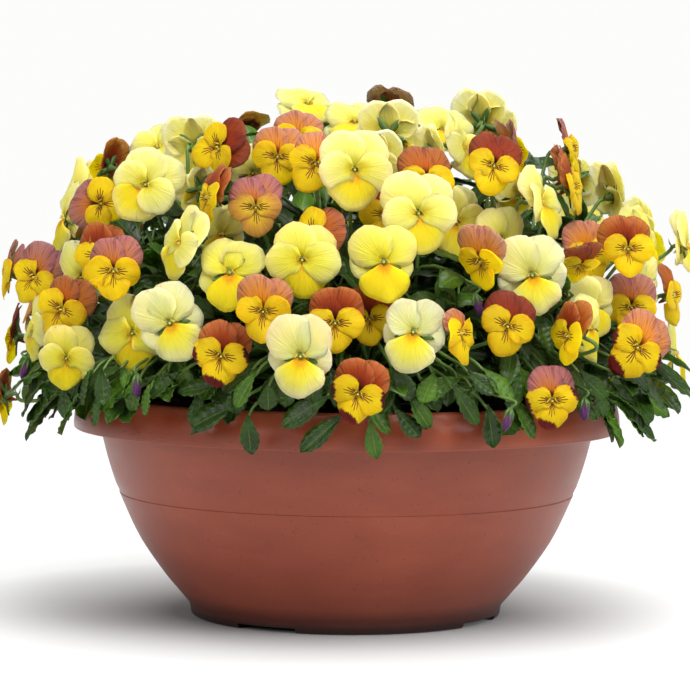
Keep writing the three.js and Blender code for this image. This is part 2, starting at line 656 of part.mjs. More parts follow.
// The other leaves at the collar: spread from one side round the back to the other
const rimLeaves = {
  count: 15, from: -8, to: 188, lean: 16, root: 0.84, tip: 0.95, foot: [124, 138], hang: [13, 28.6], back: 12,
};
const rimLeaf = {
  loose: 9, stretch: 1.05, way: 0.55, arch: 8, wander: 26, faceAt: 190,
  narrow: 0.36, wide: 0.46, least: 11, droop: 0.08,
};
const shoots = {
  ring: 3, middle: 5, apart: 26, leaves: [-0.35, 0.25], level: [0.62, 0.84], rise: [0.08, 0.62],
  swing: 34, looser: 2, riseLoose: 0.5, flattest: 0.05, clear: 6, arch: 12, wander: [6, 14],
};
const leafSize = {
  long: [27, 36], wide: 0.42, thick: 1.3, swell: 0.52, cup: 0.16, droop: 0.3, stalk: 5, tries: 90,
  outward: 0.45, rise: 0.35, faceUp: 1.1,
};
// One side's scallops: shares along and across
const leafEdge = [[0.34, 0.3], [0.5, 0.5], [0.6, 0.37], [0.82, 0.4]];
const crown = { r: 6.5, sides: 6, top: 111.5, spot: 3.2, deep: 1 };
const leafSeed = 41;

const draw = (random, [low, high]) => low + random() * (high - low);

// A scalloped leaf from its root along a direction, its upper face towards up, on a stalk along a route
function makeLeaf({ root, along, up, long, wide, droop }, stalk) {
  const side = up.clone().cross(along).normalize();
  const rise = along.clone().cross(side).normalize();
  const points = [];
  const triangles = [];
  const at = (s, t, lift) => {
    const point = root.clone().addScaledVector(along, s * long).addScaledVector(side, t * wide);
    point.addScaledVector(rise, lift + Math.abs(t) * wide * leafSize.cup - droop * long * s * s);
    return points.push(point) - 1;
  };
  const corners = [-30, 90, 210].map((deg) => [Math.cos(rad(deg)), Math.sin(rad(deg))]);
  const offsets = corners.map(([x, y]) => side.clone().multiplyScalar(-x).addScaledVector(rise, -y));
  const joint = (offset) => points.push(root.clone().addScaledVector(offset, stalkRadius.stalk)) - 1;
  const [right, below, left] = offsets.map(joint);
  const edge = [
    ...leafEdge.map(([s, t]) => at(s, -t, 0)),
    at(1, 0, 0),
    ...leafEdge.map(([s, t]) => at(s, t, 0)).reverse(),
  ];
  const upper = at(leafSize.swell, 0, leafSize.thick / 2);
  const under = at(leafSize.swell, 0, -leafSize.thick / 2);
  const ring = [right, ...edge, left];
  for (let i = 0; i < ring.length - 1; i += 1) {
    triangles.push(ring[i], ring[i + 1], upper, ring[i + 1], ring[i], under);
  }
  triangles.push(left, right, upper, right, below, under, below, left, under);
  const topRing = [right, left, below];
  const topOffsets = [offsets[0], offsets[2], offsets[1]];
  const heading = along.clone().negate();
  addStalk(points, triangles, topRing, topOffsets, heading, [root, ...stalk], stalkRadius.joint);
  return solidFrom(points, triangles);
}

function makeCrown({ x, y }) {
  const foot = soilCrownZ - hole.deep + gap;
  const geometry = new THREE.CylinderGeometry(crown.r, crown.r, crown.top - foot, crown.sides);
  return solidOf(geometry.rotateX(Math.PI / 2).translate(x, y, (crown.top + foot) / 2));
}

// Tries draws of a piece until one is clear of everything it isn't joined to; a piece that never is stays out
function growClear(owner, joined, grow) {
  for (let i = 0; i < leafSize.tries; i += 1) {
    const solids = grow(i / leafSize.tries);
    if (solids.every((solid) => isClear(solid, owner, joined))) return solids;
  }
  return [];
}

// A leaf's pose: outward from the canopy and somewhat up, turned at random
function drawLeaf(random, root) {
  const angle = random() * 2 * Math.PI;
  const heading = vec(Math.cos(angle), Math.sin(angle), leafSize.rise);
  const along = outward(root).multiplyScalar(leafSize.outward).add(heading).normalize();
  const long = draw(random, leafSize.long);
  const up = outward(root).add(vec(0, 0, leafSize.faceUp)).normalize();
  return { root, along, up, long, wide: long * leafSize.wide, droop: leafSize.droop * random() };
}

// A leafy shoot: one leaf ends it, and others stand on it lower down
function growShoot(name, random, turn, foot) {
  const level = draw(random, shoots.level);
  const rise = draw(random, shoots.rise);
  let end;
  let way;
  const [tip] = growClear(name, (other) => other.owner === name && other.crown, (loose) => {
    const angle = rad(turn + (random() - 0.5) * shoots.swing * (1 + loose * shoots.looser));
    const height = rise + (random() - 0.5) * shoots.riseLoose * loose;
    const flat = Math.sqrt(Math.max(shoots.flattest, 1 - height * height));
    const direction = vec(Math.cos(angle) * flat, Math.sin(angle) * flat, height);
    end = vec(0, 0, canopy.foot).lerp(skinAlong(direction), level);
    end.z = Math.max(end.z, collar.topZ + shoots.clear);
    way = foot.clone().lerp(end, 0.5).add(vec(0, 0, shoots.arch));
    way.add(drawnAround(random, shoots.wander[0] + shoots.wander[1] * loose));
    const leaf = drawLeaf(random, end);
    leaf.along.add(end.clone().sub(way).normalize()).normalize();
    return [makeLeaf(leaf, [way, foot])];
  });
  if (!tip) return [];
  setDown(tip, name);
  const grown = [tip];
  for (const share of shoots.leaves) {
    const root = share < 0 ? way.clone().lerp(end, -share) : way.clone().lerp(foot, share);
    const onShoot = (other) => other.solid === tip;
    const [leaf] = growClear(name, onShoot, () => [makeLeaf(...sideLeaf(random, root))]);
    if (!leaf) continue;
    setDown(leaf, name);
    grown.push(leaf);
  }
  return grown;
}

// A leaf whose short stalk starts inside a shoot
function sideLeaf(random, root) {
  const leaf = drawLeaf(random, root.clone());
  leaf.root.addScaledVector(leaf.along, leafSize.stalk);
  return [leaf, [root]];
}

// A leaf on its own stalk out of the crown, over the collar
function growRimLeaf(name, random, { root, tip, narrow }, foot) {
  const grown = growClear(name, (other) => other.owner === name && other.crown, (loose) => {
    const from = root.clone().add(drawnAround(random, rimLeaf.loose * loose));
    const to = tip.clone().add(drawnAround(random, rimLeaf.loose * loose));
    const along = to.clone().sub(from);
    const long = along.length() * rimLeaf.stretch;
    along.normalize();
    const way = foot.clone().lerp(from, rimLeaf.way);
    way.z = Math.max(from.z, collar.topZ) + rimLeaf.arch;
    way.add(drawnAround(random, rimLeaf.wander * loose));
    const up = outward(vec(from.x, from.y, rimLeaf.faceAt));
    const wide = narrow ? long * rimLeaf.narrow : Math.max(rimLeaf.least, long * rimLeaf.wide);
    return [makeLeaf({ root: from, along, up, long, wide, droop: rimLeaf.droop }, [way, foot])];
  });
  for (const leaf of grown) setDown(leaf, name);
  return grown;
}

function listRimLeaves(random) {
  const seen = ([x, z]) => placeSeen({ x, z, back: rimLeaves.back });
  const front = frontLeaves.map(({ from, to, narrow }) => ({ root: seen(from), tip: seen(to), narrow }));
  const at = (angle, share, z) => {
    return vec(canopy.across * share * Math.cos(angle), canopy.deep * share * Math.sin(angle), z);
  };
  const back = [];
  for (let i = 0; i < rimLeaves.count; i += 1) {
    const turn = rad(rimLeaves.from + (i * (rimLeaves.to - rimLeaves.from)) / (rimLeaves.count - 1));
    const lean = rad((random() - 0.5) * rimLeaves.lean);
    const foot = draw(random, rimLeaves.foot);
    const hang = draw(random, rimLeaves.hang);
    const root = at(turn, rimLeaves.root, foot);
    back.push({ root, tip: at(turn + lean, rimLeaves.tip, foot - hang), narrow: false });
  }
  return [...front, ...back];
}

// Every plant's leaves: all its stalks leave the crown's top side by side, in the order of the way they grow
function makeFoliage() {
  const random = seeded(leafSeed);
  const rim = listRimLeaves(random);
  return plants.map((plant, i) => {
    const name = `leafy_plant_${i}`;
    const stump = makeCrown(plant);
    setDown(stump, name).crown = true;
    const heading = i === 0 ? 0 : ringTurn + ((i - 1) * 360) / ringPlants;
    const shootCount = i === 0 ? shoots.middle : shoots.ring;
    const jobs = [];
    for (let k = 0; k < shootCount; k += 1) {
      const turn = i === 0 ? (k * 360) / shootCount - 180 : (k - (shootCount - 1) / 2) * shoots.apart;
      jobs.push({ turn, grow: (foot) => growShoot(name, random, heading + turn, foot) });
    }
    for (const leaf of rim.filter(({ root }) => Math.max(1, plantOf(root)) === i)) {
      const towards = Math.atan2(leaf.root.y - plant.y, leaf.root.x - plant.x);
      const off = THREE.MathUtils.radToDeg(towards) - heading;
      const turn = off - 360 * Math.round(off / 360);
      jobs.push({ turn, grow: (foot) => growRimLeaf(name, random, leaf, foot) });
    }
    jobs.sort((a, b) => a.turn - b.turn);
    const grown = jobs.flatMap((job, k) => {
      const spot = rad(heading + ((k - (jobs.length - 1) / 2) * 360) / jobs.length);
      const out = vec(Math.cos(spot), Math.sin(spot), 0).multiplyScalar(crown.spot);
      return job.grow(vec(plant.x, plant.y, crown.top - crown.deep).add(out));
    });
    return { name, solid: fuse([stump, ...grown]) };
  });
}

// The planter
const looks = {
  pot: { color: 0x8f4e40, roughness: 0.42, metalness: 0 },
  soil: { color: 0x2b1d14, roughness: 0.95, metalness: 0 },
  leaf: { color: 0x35602c, roughness: 0.55, metalness: 0 },
  pale: { color: 0xf0e896, roughness: 0.6, metalness: 0 },
  golden: { color: 0xf6c30c, roughness: 0.6, metalness: 0 },
};
const planter = new THREE.Group();

function addPiece(name, solid, look) {
  const mesh = new THREE.Mesh(geometryOf(solid), new THREE.MeshStandardMaterial(look));
  mesh.name = name;
  planter.add(mesh);
}

const bowl = makeBowl();
const soil = makeSoil();
setDown(bowl, "pot", potSpace);
setDown(soil, "soil", potSpace);
addPiece("pot", bowl, looks.pot);
addPiece("soil", soil, looks.soil);
const sprays = groupSprays(listBlooms());
makeSprays(sprays);
for (const { name, solid, kind } of sprays) addPiece(name, solid, looks[kind.name]);
for (const { name, solid } of makeFoliage()) addPiece(name, solid, looks.leaf);

export default planter;
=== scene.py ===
import json
import math
import random

import bpy
import numpy as np
from mathutils import Matrix, Vector

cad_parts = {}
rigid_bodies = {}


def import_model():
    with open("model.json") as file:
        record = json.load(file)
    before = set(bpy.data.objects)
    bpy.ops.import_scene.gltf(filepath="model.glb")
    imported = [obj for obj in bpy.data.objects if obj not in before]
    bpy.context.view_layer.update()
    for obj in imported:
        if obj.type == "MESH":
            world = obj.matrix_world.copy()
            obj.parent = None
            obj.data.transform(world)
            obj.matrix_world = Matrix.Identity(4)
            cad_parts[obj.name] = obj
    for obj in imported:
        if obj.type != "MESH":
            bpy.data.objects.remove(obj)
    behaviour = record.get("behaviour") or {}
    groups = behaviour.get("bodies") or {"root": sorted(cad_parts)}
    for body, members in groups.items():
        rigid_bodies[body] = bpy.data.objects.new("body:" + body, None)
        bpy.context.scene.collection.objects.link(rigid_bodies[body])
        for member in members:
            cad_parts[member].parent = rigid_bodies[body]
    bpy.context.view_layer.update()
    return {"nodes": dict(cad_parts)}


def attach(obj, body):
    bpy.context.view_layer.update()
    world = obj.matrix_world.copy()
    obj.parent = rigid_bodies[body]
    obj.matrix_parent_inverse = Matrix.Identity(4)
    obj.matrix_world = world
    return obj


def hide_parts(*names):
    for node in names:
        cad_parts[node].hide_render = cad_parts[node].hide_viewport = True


for thing in list(bpy.data.objects):
    bpy.data.objects.remove(thing)  # nothing of the start-up file stays

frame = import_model()
print("frame loaded:", len(frame["nodes"]), "nodes")

mm = 0.001


def vec(x, y, z):
    return np.array([x, y, z], float)


def unit(v):
    return v / max(np.linalg.norm(v), 1e-9)


def onRing(radius, angle, z):
    return vec(radius * math.cos(angle), radius * math.sin(angle), z)


def loose(draw, x=(-1, 1), y=(-1, 1), z=(-1, 1)):
    # a random step, with its own range in each direction
    return vec(draw.uniform(*x), draw.uniform(*y), draw.uniform(*z))


def seeded(seed):
    # the same draws as the solids were planted with
    state = [seed & 0xFFFFFFFF]

    def draw():
        state[0] = (state[0] + 0x6D2B79F5) & 0xFFFFFFFF
        t = state[0]
        t = ((t ^ (t >> 15)) * (t | 1)) & 0xFFFFFFFF
        t ^= (t + (((t ^ (t >> 7)) * (t | 61)) & 0xFFFFFFFF)) & 0xFFFFFFFF
        return ((t ^ (t >> 14)) & 0xFFFFFFFF) / 4294967296

    return draw


def curveThrough(points, steps):
    # a smooth line through the given points
    pts = [np.asarray(p, float) for p in points]
    pts = [2 * pts[0] - pts[1]] + pts + [2 * pts[-1] - pts[-2]]
    line = []
    for a, b, c, d in zip(pts, pts[1:], pts[2:], pts[3:]):
        for k in range(steps):
            t = k / steps
            bent = (2 * a - 5 * b + 4 * c - d) * t**2 + (3 * b - a - 3 * c + d) * t**3
            line.append(0.5 * (2 * b + (c - a) * t + bent))
    line.append(pts[-2])
    return np.array(line)


def wallsBetween(rows):
    # four-cornered faces between rows of point numbers, each row closed on itself
    after = np.roll(rows, -1, axis=1)
    return np.stack([rows[:-1], after[:-1], after[1:], rows[1:]], axis=-1).reshape(-1, 4).tolist()


def addMesh(name, points, faces, scale=mm):
    mesh = bpy.data.meshes.new(name)
    mesh.from_pydata((np.array(points, float) * scale).tolist(), [], faces)
    mesh.update()
    piece = bpy.data.objects.new(name, mesh)
    bpy.context.scene.collection.objects.link(piece)
    return piece


class Skin:
    # points, faces and finishes of one piece while it grows
    def __init__(self):
        self.points = []
        self.maps = []
        self.faces = []
        self.finishes = []
        self.used = []
        self.count = 0

    def addPoints(self, points, maps):
        # gives the numbers of the new points, in the same rows
        self.points.append(points.reshape(-1, 3))
        self.maps.append(maps.reshape(-1, 2))
        first = self.count
        self.count += len(self.points[-1])
        return np.arange(first, self.count).reshape(points.shape[:2])

    def addFaces(self, faces, finish):
        if finish not in self.used:
            self.used.append(finish)
        self.faces.extend(faces)
        self.finishes.extend([self.used.index(finish)] * len(faces))

    def addBlade(self, front, back, maps, finish):
        # a closed thin blade: rows run outwards, columns run to the right as seen from the front
        cols = front.shape[1]
        ring = np.concatenate([front, back[:, ::-1]], axis=1)
        rows = self.addPoints(ring, np.concatenate([maps, maps[:, ::-1]], axis=1))
        faces = wallsBetween(rows)
        for j in range(cols - 1):
            far = 2 * cols - 1 - j
            faces.append([rows[-1, j], rows[-1, j + 1], rows[-1, far - 1], rows[-1, far]])
            faces.append([rows[0, j + 1], rows[0, j], rows[0, far], rows[0, far - 1]])
        self.addFaces(faces, finish)

    def addTube(self, line, radii, sides, finish):
        # a round stalk along a line, closed at both ends
        line = np.asarray(line, float)
        ahead = np.gradient(line, axis=0)
        ahead /= np.maximum(np.linalg.norm(ahead, axis=1), 1e-9)[:, None]
        side = np.cross(ahead[0], vec(0.3, 0.2, 0.93))
        turn = (np.arange(sides) * 2 * math.pi / sides)[:, None]
        rings = []
        for point, way, radius in zip(line, ahead, radii):
            side = unit(side - way * side.dot(way))
            rings.append(point + radius * (np.cos(turn) * side + np.sin(turn) * np.cross(way, side)))
        maps = np.meshgrid(np.arange(sides) / sides, np.linspace(0, 1, len(rings)))
        rows = self.addPoints(np.array(rings), np.stack(maps, axis=-1))
        self.addFaces(wallsBetween(rows) + [rows[0, ::-1].tolist(), rows[-1].tolist()], finish)

    def addStalk(self, points, steps, root, end, sides=5):
        # a green stalk through the points, from one radius to the other
        line = curveThrough(points, steps)
        self.addTube(line, np.linspace(root, end, len(line)), sides, stalkGreen)

    def build(self, name, node, slot):
        piece = addMesh(name, np.concatenate(self.points), self.faces)
        mesh = piece.data
        corners = np.zeros(len(mesh.loops), np.int32)
        mesh.loops.foreach_get("vertex_index", corners)
        maps = np.concatenate(self.maps)[corners].astype(np.float32)
        mesh.uv_layers.new(name="across").uv.foreach_set("vector", maps.ravel())
        for finish in self.used:
            mesh.materials.append(finish)
        mesh.polygons.foreach_set("material_index", np.array(self.finishes, np.int32))
        mesh.shade_smooth()
        mesh.update()
        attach(piece, "root")
        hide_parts(node)


def tint(r, g, b):
    # a colour as the eye sees it, 0 to 255, turned into Blender's light values
    def light(c):
        share = c / 255
        return share / 12.92 if c <= 10 else ((share + 0.055) / 1.055) ** 2.4

    return light(r), light(g), light(b), 1


class Amount:
    # a value that changes over a surface; sums with it become math nodes
    def __init__(self, finish, socket):
        self.finish = finish
        self.socket = socket

    def worked(self, operation, *values):
        node = self.finish.put("ShaderNodeMath", enumerate(values), operation=operation)
        return Amount(self.finish, node.outputs[0])

    def held(self):
        self.socket.node.use_clamp = True  # never under 0 or over 1
        return self

    def __add__(self, other):
        return self.worked("ADD", self, other)

    def __sub__(self, other):
        return self.worked("SUBTRACT", self, other)

    def __rsub__(self, other):
        return self.worked("SUBTRACT", other, self)

    def __mul__(self, other):
        return self.worked("MULTIPLY", self, other)

    def __rtruediv__(self, other):
        return self.worked("DIVIDE", other, self)

    def __abs__(self):
        return self.worked("ABSOLUTE", self)


class Finish:
    # one material, with short ways to put nodes before its shader
    def __init__(self, name, values):
        self.material = bpy.data.materials.new(name)
        self.material.use_nodes = True
        self.tree = self.material.node_tree
        self.shader = self.tree.nodes["Principled BSDF"]
        for socket, value in values.items():
            self.shader.inputs[socket].default_value = value

    def feed(self, socket, value):
        value = value.socket if isinstance(value, Amount) else value
        if isinstance(value, bpy.types.NodeSocket):
            self.tree.links.new(value, socket)
        else:
            socket.default_value = value

    def put(self, kind, links=(), **values):
        node = self.tree.nodes.new(kind)
        for key, value in values.items():
            setattr(node, key, value)
        for socket, value in dict(links).items():
            self.feed(node.inputs[socket], value)
        return node

    def across(self):
        # over the blade and outwards along it, 0 to 1
        return self.put("ShaderNodeUVMap", uv_map="across").outputs[0]

    def place(self):
        return self.put("ShaderNodeTexCoord").outputs["Object"]

    def parts(self, where):
        return [Amount(self, part) for part in self.put("ShaderNodeSeparateXYZ", {0: where}).outputs]

    def blend(self, share, first, second, way="MIX"):
        links = {0: share, 6: first, 7: second}
        return self.put("ShaderNodeMix", links, data_type="RGBA", blend_type=way).outputs[2]

    def ramp(self, value, stops):
        node = self.put("ShaderNodeValToRGB", {0: value})
        ramp = node.color_ramp
        ramp.elements[0].position, ramp.elements[0].color = stops[0]
        ramp.elements[1].position, ramp.elements[1].color = stops[-1]
        for position, colour in stops[1:-1]:
            ramp.elements.new(position).color = colour
        return node.outputs[0]

    def noise(self, where, scale, detail=2.0, rough=0.5, stretch=None):
        if stretch:
            where = self.put("ShaderNodeMapping", {"Vector": where, "Scale": stretch}).outputs[0]
        links = {"Vector": where, "Scale": scale, "Detail": detail, "Roughness": rough}
        return Amount(self, self.put("ShaderNodeTexNoise", links).outputs[0])

    def done(self, colour, height, strength, distance):
        # the colour and the fine relief go into the shader
        self.feed(self.shader.inputs["Base Color"], colour)
        links = {"Height": height, "Strength": strength, "Distance": distance * mm}
        self.feed(self.shader.inputs["Normal"], self.put("ShaderNodeBump", links).outputs[0])
        return self.material


petalTints = {
    # throat, heart, middle and edge of the petal, and its veins
    "paleUpper": [(216, 194, 50), (240, 220, 84), (248, 230, 98), (249, 236, 128), (214, 194, 60)],
    "paleSide": [(228, 194, 36), (242, 221, 78), (249, 231, 98), (250, 237, 130), (218, 196, 58)],
    "paleLip": [(240, 136, 3), (252, 192, 6), (253, 210, 24), (250, 224, 84), (228, 154, 5)],
    "creamUpper": [(220, 206, 84), (236, 226, 112), (240, 231, 130), (241, 235, 152), (214, 202, 96)],
    "creamSide": [(226, 202, 60), (238, 226, 108), (241, 232, 130), (242, 236, 154), (216, 202, 90)],
    "creamLip": [(240, 140, 4), (252, 202, 14), (250, 222, 62), (246, 234, 132), (226, 164, 8)],
    "lemonUpper": [(220, 188, 24), (243, 216, 48), (249, 226, 74), (250, 234, 108), (218, 188, 32)],
    "lemonSide": [(232, 190, 22), (245, 217, 44), (250, 227, 70), (251, 236, 108), (222, 190, 30)],
    "lemonLip": [(240, 134, 2), (253, 190, 3), (254, 203, 5), (253, 212, 22), (230, 146, 3)],
    "goldenSide": [(232, 158, 8), (255, 184, 1), (255, 188, 0), (254, 174, 2), (236, 138, 1)],
    "goldenLip": [(236, 156, 6), (255, 180, 1), (255, 186, 0), (252, 166, 2), (236, 132, 1)],
    "tippedSide": [(232, 158, 8), (255, 184, 1), (255, 188, 0), (254, 174, 2), (236, 138, 1)],
    "tippedLip": [(236, 156, 6), (255, 180, 1), (255, 186, 0), (252, 166, 2), (236, 132, 1)],
    "bronzeSide": [(226, 170, 30), (218, 160, 30), (196, 128, 36), (166, 96, 46), (140, 70, 20)],
    "rustUpper": [(52, 9, 2), (104, 26, 4), (134, 48, 10), (158, 82, 42), (70, 12, 4)],
    "peachUpper": [(116, 40, 6), (204, 122, 12), (184, 112, 54), (166, 104, 88), (112, 38, 20)],
    "mauveUpper": [(78, 22, 6), (172, 96, 20), (152, 88, 68), (136, 78, 86), (78, 26, 26)],
    "brownUpper": [(70, 16, 4), (166, 78, 8), (152, 78, 28), (136, 72, 46), (74, 22, 10)],
    "maroonUpper": [(48, 7, 4), (134, 44, 10), (118, 38, 16), (108, 42, 32), (66, 10, 9)],
    "budPetal": [(90, 60, 80), (96, 52, 96), (84, 44, 92), (70, 36, 84), (50, 20, 60)],
}
plainPetal = {"veins": 0.6, "fade": 0.65, "glow": 0.75, "gloss": 0.14}  # fade: veins weaken outwards
darkPetal = {"veins": 1.0, "fade": 0.2, "glow": 0.2, "gloss": 0.12}
whiskered = {"veins": 0.5, "whiskers": (58, 16, 8)}
petalMarks = {
    # a tip stands at a share across and a share outwards, with its radius
    "goldenSide": whiskered, "goldenLip": whiskered,
    "tippedSide": {**whiskered, "tip": (38, 3, 6), "tipAt": (0.4, 1.06, 0.26)},
    "tippedLip": {**whiskered, "tip": (52, 5, 5), "tipAt": (0.58, 1.06, 0.38)},
    "bronzeSide": {**whiskered, "veins": 0.7},
    "rustUpper": darkPetal, "peachUpper": darkPetal, "mauveUpper": darkPetal, "brownUpper": darkPetal,
    "maroonUpper": {**darkPetal, "veins": 0.85},
    "budPetal": {"veins": 0.5},
}
petalSkin = {
    "rough": 0.6,
    "stops": (0.0, 0.2, 0.36, 0.68, 1.0),  # throat, again throat, heart, middle and edge
    "streaks": (36, 1.6, 1),  # how fine, across and along the petal
    "folds": (6, 0.9, 1),  # soft pleats that run outwards
    "clouds": 42.0,
    "drift": 0.34,  # how far the clouds carry the tints
    "ragged": 0.22,
    "veinSharp": 5.0,
    "patches": 17.0,
    "patchy": (0.45, 0.83),  # share of the patches, and the darkest
    "velvet": 2600.0,
    "relief": (1.8, 0.18),  # folds and velvet beside the streaks
    "bump": (0.75, 0.6),
}
whisker = {
    "count": 11.0,
    "slim": (0.115, 0.06, 9.0),  # width, blunt start and sharpness
    "start": (0.1, 20.0),
    "limit": (0.66, 7.0, 16.0),  # the longest, how much shorter aside, and sharpness
    "uneven": 0.14,
}
tipForm = {"narrow": 1.6, "sharp": 18.0}


def whiskersOn(finish, surface, across, out):
    # dark lines that run out from the throat, longest in the middle of the petal
    slim, blunt, sharp = whisker["slim"]
    spread = across * whisker["count"]
    off = abs(spread.worked("FRACT", spread) - 0.5)
    line = ((slim / (out + blunt) - off) * sharp).held()
    aside = across - 0.5
    longest, shorter, sharp = whisker["limit"]
    uneven = finish.noise(surface, 1.0, stretch=(15, 0.0, 1)) * whisker["uneven"]
    limit = longest - aside * aside * shorter
    ending = ((limit - uneven - out) * sharp).held()
    start, sharp = whisker["start"]
    return line * ending * ((out - start) * sharp).held()


def petalFinish(name, tints):
    look = {**plainPetal, **petalMarks.get(name, {})}
    finish = Finish(name, {
        "Roughness": petalSkin["rough"], "Specular IOR Level": look["gloss"],
        "Sheen Weight": 0.02, "Sheen Roughness": 0.4,
        "Subsurface Weight": look["glow"], "Subsurface Scale": 0.005, "Subsurface Radius": (1.0, 0.85, 0.4),
    })
    surface, place = finish.across(), finish.place()
    across, out = finish.parts(surface)[:2]
    streaks = finish.noise(surface, 1.0, 3.0, stretch=petalSkin["streaks"])
    ragged = (streaks - 0.5) * petalSkin["ragged"]
    drift = (finish.noise(place, petalSkin["clouds"], 1.0) - 0.5) * petalSkin["drift"]
    throat, heart, middle, edge, vein = [tint(*colour) for colour in tints]
    stops = list(zip(petalSkin["stops"], (throat, throat, heart, middle, edge)))
    colour = finish.ramp((out + drift + ragged).held(), stops)
    lines = ((streaks - 0.5) * petalSkin["veinSharp"]).held()
    colour = finish.blend(lines * (1.0 - out * look["fade"]).held() * look["veins"], colour, vein)
    if "whiskers" in look:
        colour = finish.blend(whiskersOn(finish, surface, across, out), colour, tint(*look["whiskers"]))
    if "tip" in look:
        tipAcross, tipOut, tipWide = look["tipAt"]
        dx = (across - tipAcross) * tipForm["narrow"]
        dy = out - tipOut
        away = dx * dx + dy * dy
        away = away.worked("SQRT", away) + ragged
        colour = finish.blend(((tipWide - away) * tipForm["sharp"]).held(), colour, tint(*look["tip"]))
    patchy, darkest = petalSkin["patchy"]
    shade = finish.noise(place, petalSkin["patches"], 0.0) * patchy + darkest
    grey = finish.put("ShaderNodeCombineXYZ", {0: shade, 1: shade, 2: shade}).outputs[0]
    colour = finish.blend(1.0, colour, grey, "MULTIPLY")
    folded, soft = petalSkin["relief"]
    folds = finish.noise(surface, 1.0, 1.0, stretch=petalSkin["folds"])
    velvet = finish.noise(place, petalSkin["velvet"], 1.0)
    return finish.done(colour, streaks + folds * folded + velvet * soft, *petalSkin["bump"])


petalFinishes = {name: petalFinish(name, tints) for name, tints in petalTints.items()}

leafSkin = {
    "rough": 0.34,
    "gloss": 0.36,
    "clouds": 55.0,
    "sideVeins": (7.0, 5.0),  # how many leave the middle one, and how far they sweep forwards
    "sideVein": (0.09, 11.0, 0.4),  # half width, sharpness and strength
    "midVein": (0.035, 50.0, 0.8),
    "margin": (0.455, 18.0, 0.5),
    "shades": (0.3, 0.72),  # where in the clouds the dark and the light tone lie
    "speckle": (420.0, 0.2),
    "speckleTint": (66, 98, 24),
    "bump": (0.5, 0.7),
}


def leafFinish(name, dark, light, rib):
    finish = Finish(name, {
        "Roughness": leafSkin["rough"], "Specular IOR Level": leafSkin["gloss"],
        "Subsurface Weight": 0.1, "Subsurface Scale": 0.001, "Subsurface Radius": (0.4, 1.0, 0.2),
    })
    surface, place = finish.across(), finish.place()
    across, along = finish.parts(surface)[:2]
    aside = abs(across - 0.5)
    tones = [tint(*dark), tint(*light)]
    colour = finish.ramp(finish.noise(place, leafSkin["clouds"]), list(zip(leafSkin["shades"], tones)))
    count, sweep = leafSkin["sideVeins"]
    swept = along * count - aside * sweep
    slim, sharp, strong = leafSkin["sideVein"]
    sideVein = ((slim - abs(swept.worked("FRACT", swept) - 0.5)) * sharp).held() * strong
    slim, sharp, strong = leafSkin["midVein"]
    veins = sideVein.worked("MAXIMUM", sideVein, ((slim - aside) * sharp).held() * strong)
    start, sharp, strong = leafSkin["margin"]
    colour = finish.blend(((aside - start) * sharp).held() * strong, colour, tint(*rib))
    colour = finish.blend(veins, colour, tint(*rib))
    fine, strong = leafSkin["speckle"]
    speckle = finish.noise(place, fine, 3.0)
    colour = finish.blend(speckle * strong, colour, tint(*leafSkin["speckleTint"]))
    return finish.done(colour, speckle * 0.5 - veins, *leafSkin["bump"])


stemSkin = {"rough": 0.5, "ribs": (9, 2, 1), "clouds": 60.0, "shades": (0.35, 0.65), "bump": (0.3, 0.3)}


def stemFinish(name, base, other):
    lit = {"Subsurface Weight": 0.1, "Subsurface Scale": 0.001}
    finish = Finish(name, {"Roughness": stemSkin["rough"], **lit})
    ribs = finish.noise(finish.across(), 1.0, stretch=stemSkin["ribs"])
    share = (ribs + finish.noise(finish.place(), stemSkin["clouds"])) * 0.5
    tones = [tint(*base), tint(*other)]
    return finish.done(finish.ramp(share, list(zip(stemSkin["shades"], tones))), ribs, *stemSkin["bump"])


plastic = {
    "tints": [(0.3, tint(126, 52, 30)), (0.55, tint(140, 62, 38)), (0.75, tint(153, 73, 47))],
    "dust": (0.22, tint(190, 130, 108)),  # how strong, and its tint
    "drops": (0.35, tint(64, 26, 16)),
    "collar": (0.25, tint(88, 32, 16)),
    # painted highlight: lighter patches on the collar stand in for its uneven reflections
    "paintedHighlight": (0.6, tint(186, 92, 60)),
    # painted shade: the lower part of the bowl is darkened towards the floor
    "lower": (0.4, tint(104, 34, 16)),
    # painted shade: a dark band round the foot, darkest where it meets the floor
    "foot": (0.95, tint(34, 8, 5)),
    "collarFrom": (0.1032, 900.0), "lowerFrom": (0.062, 16.0), "footFrom": (0.014, 90.0),  # metres, sharpness
    "specks": {
        # how fine, detail, roughness, and from where and how sharply they show
        "dust": (160.0, 5.0, 0.7, 0.6, 2.0),
        "drops": (520.0, 1.0, 0.5, 0.66, 9.0),
        # where the painted highlight's patches lie
        "paintedHighlight": (24.0, 1.0, 0.5, 0.45, 4.0),
    },
    "swirl": (30.0, 3.0), "drawnOut": (1, 1, 2.6), "clouds": (9.0, 3.0), "grain": 900.0,
    "rough": 0.3, "uneven": 0.2, "polished": 0.1, "gloss": 0.45, "bump": (0.12, 0.4),
}


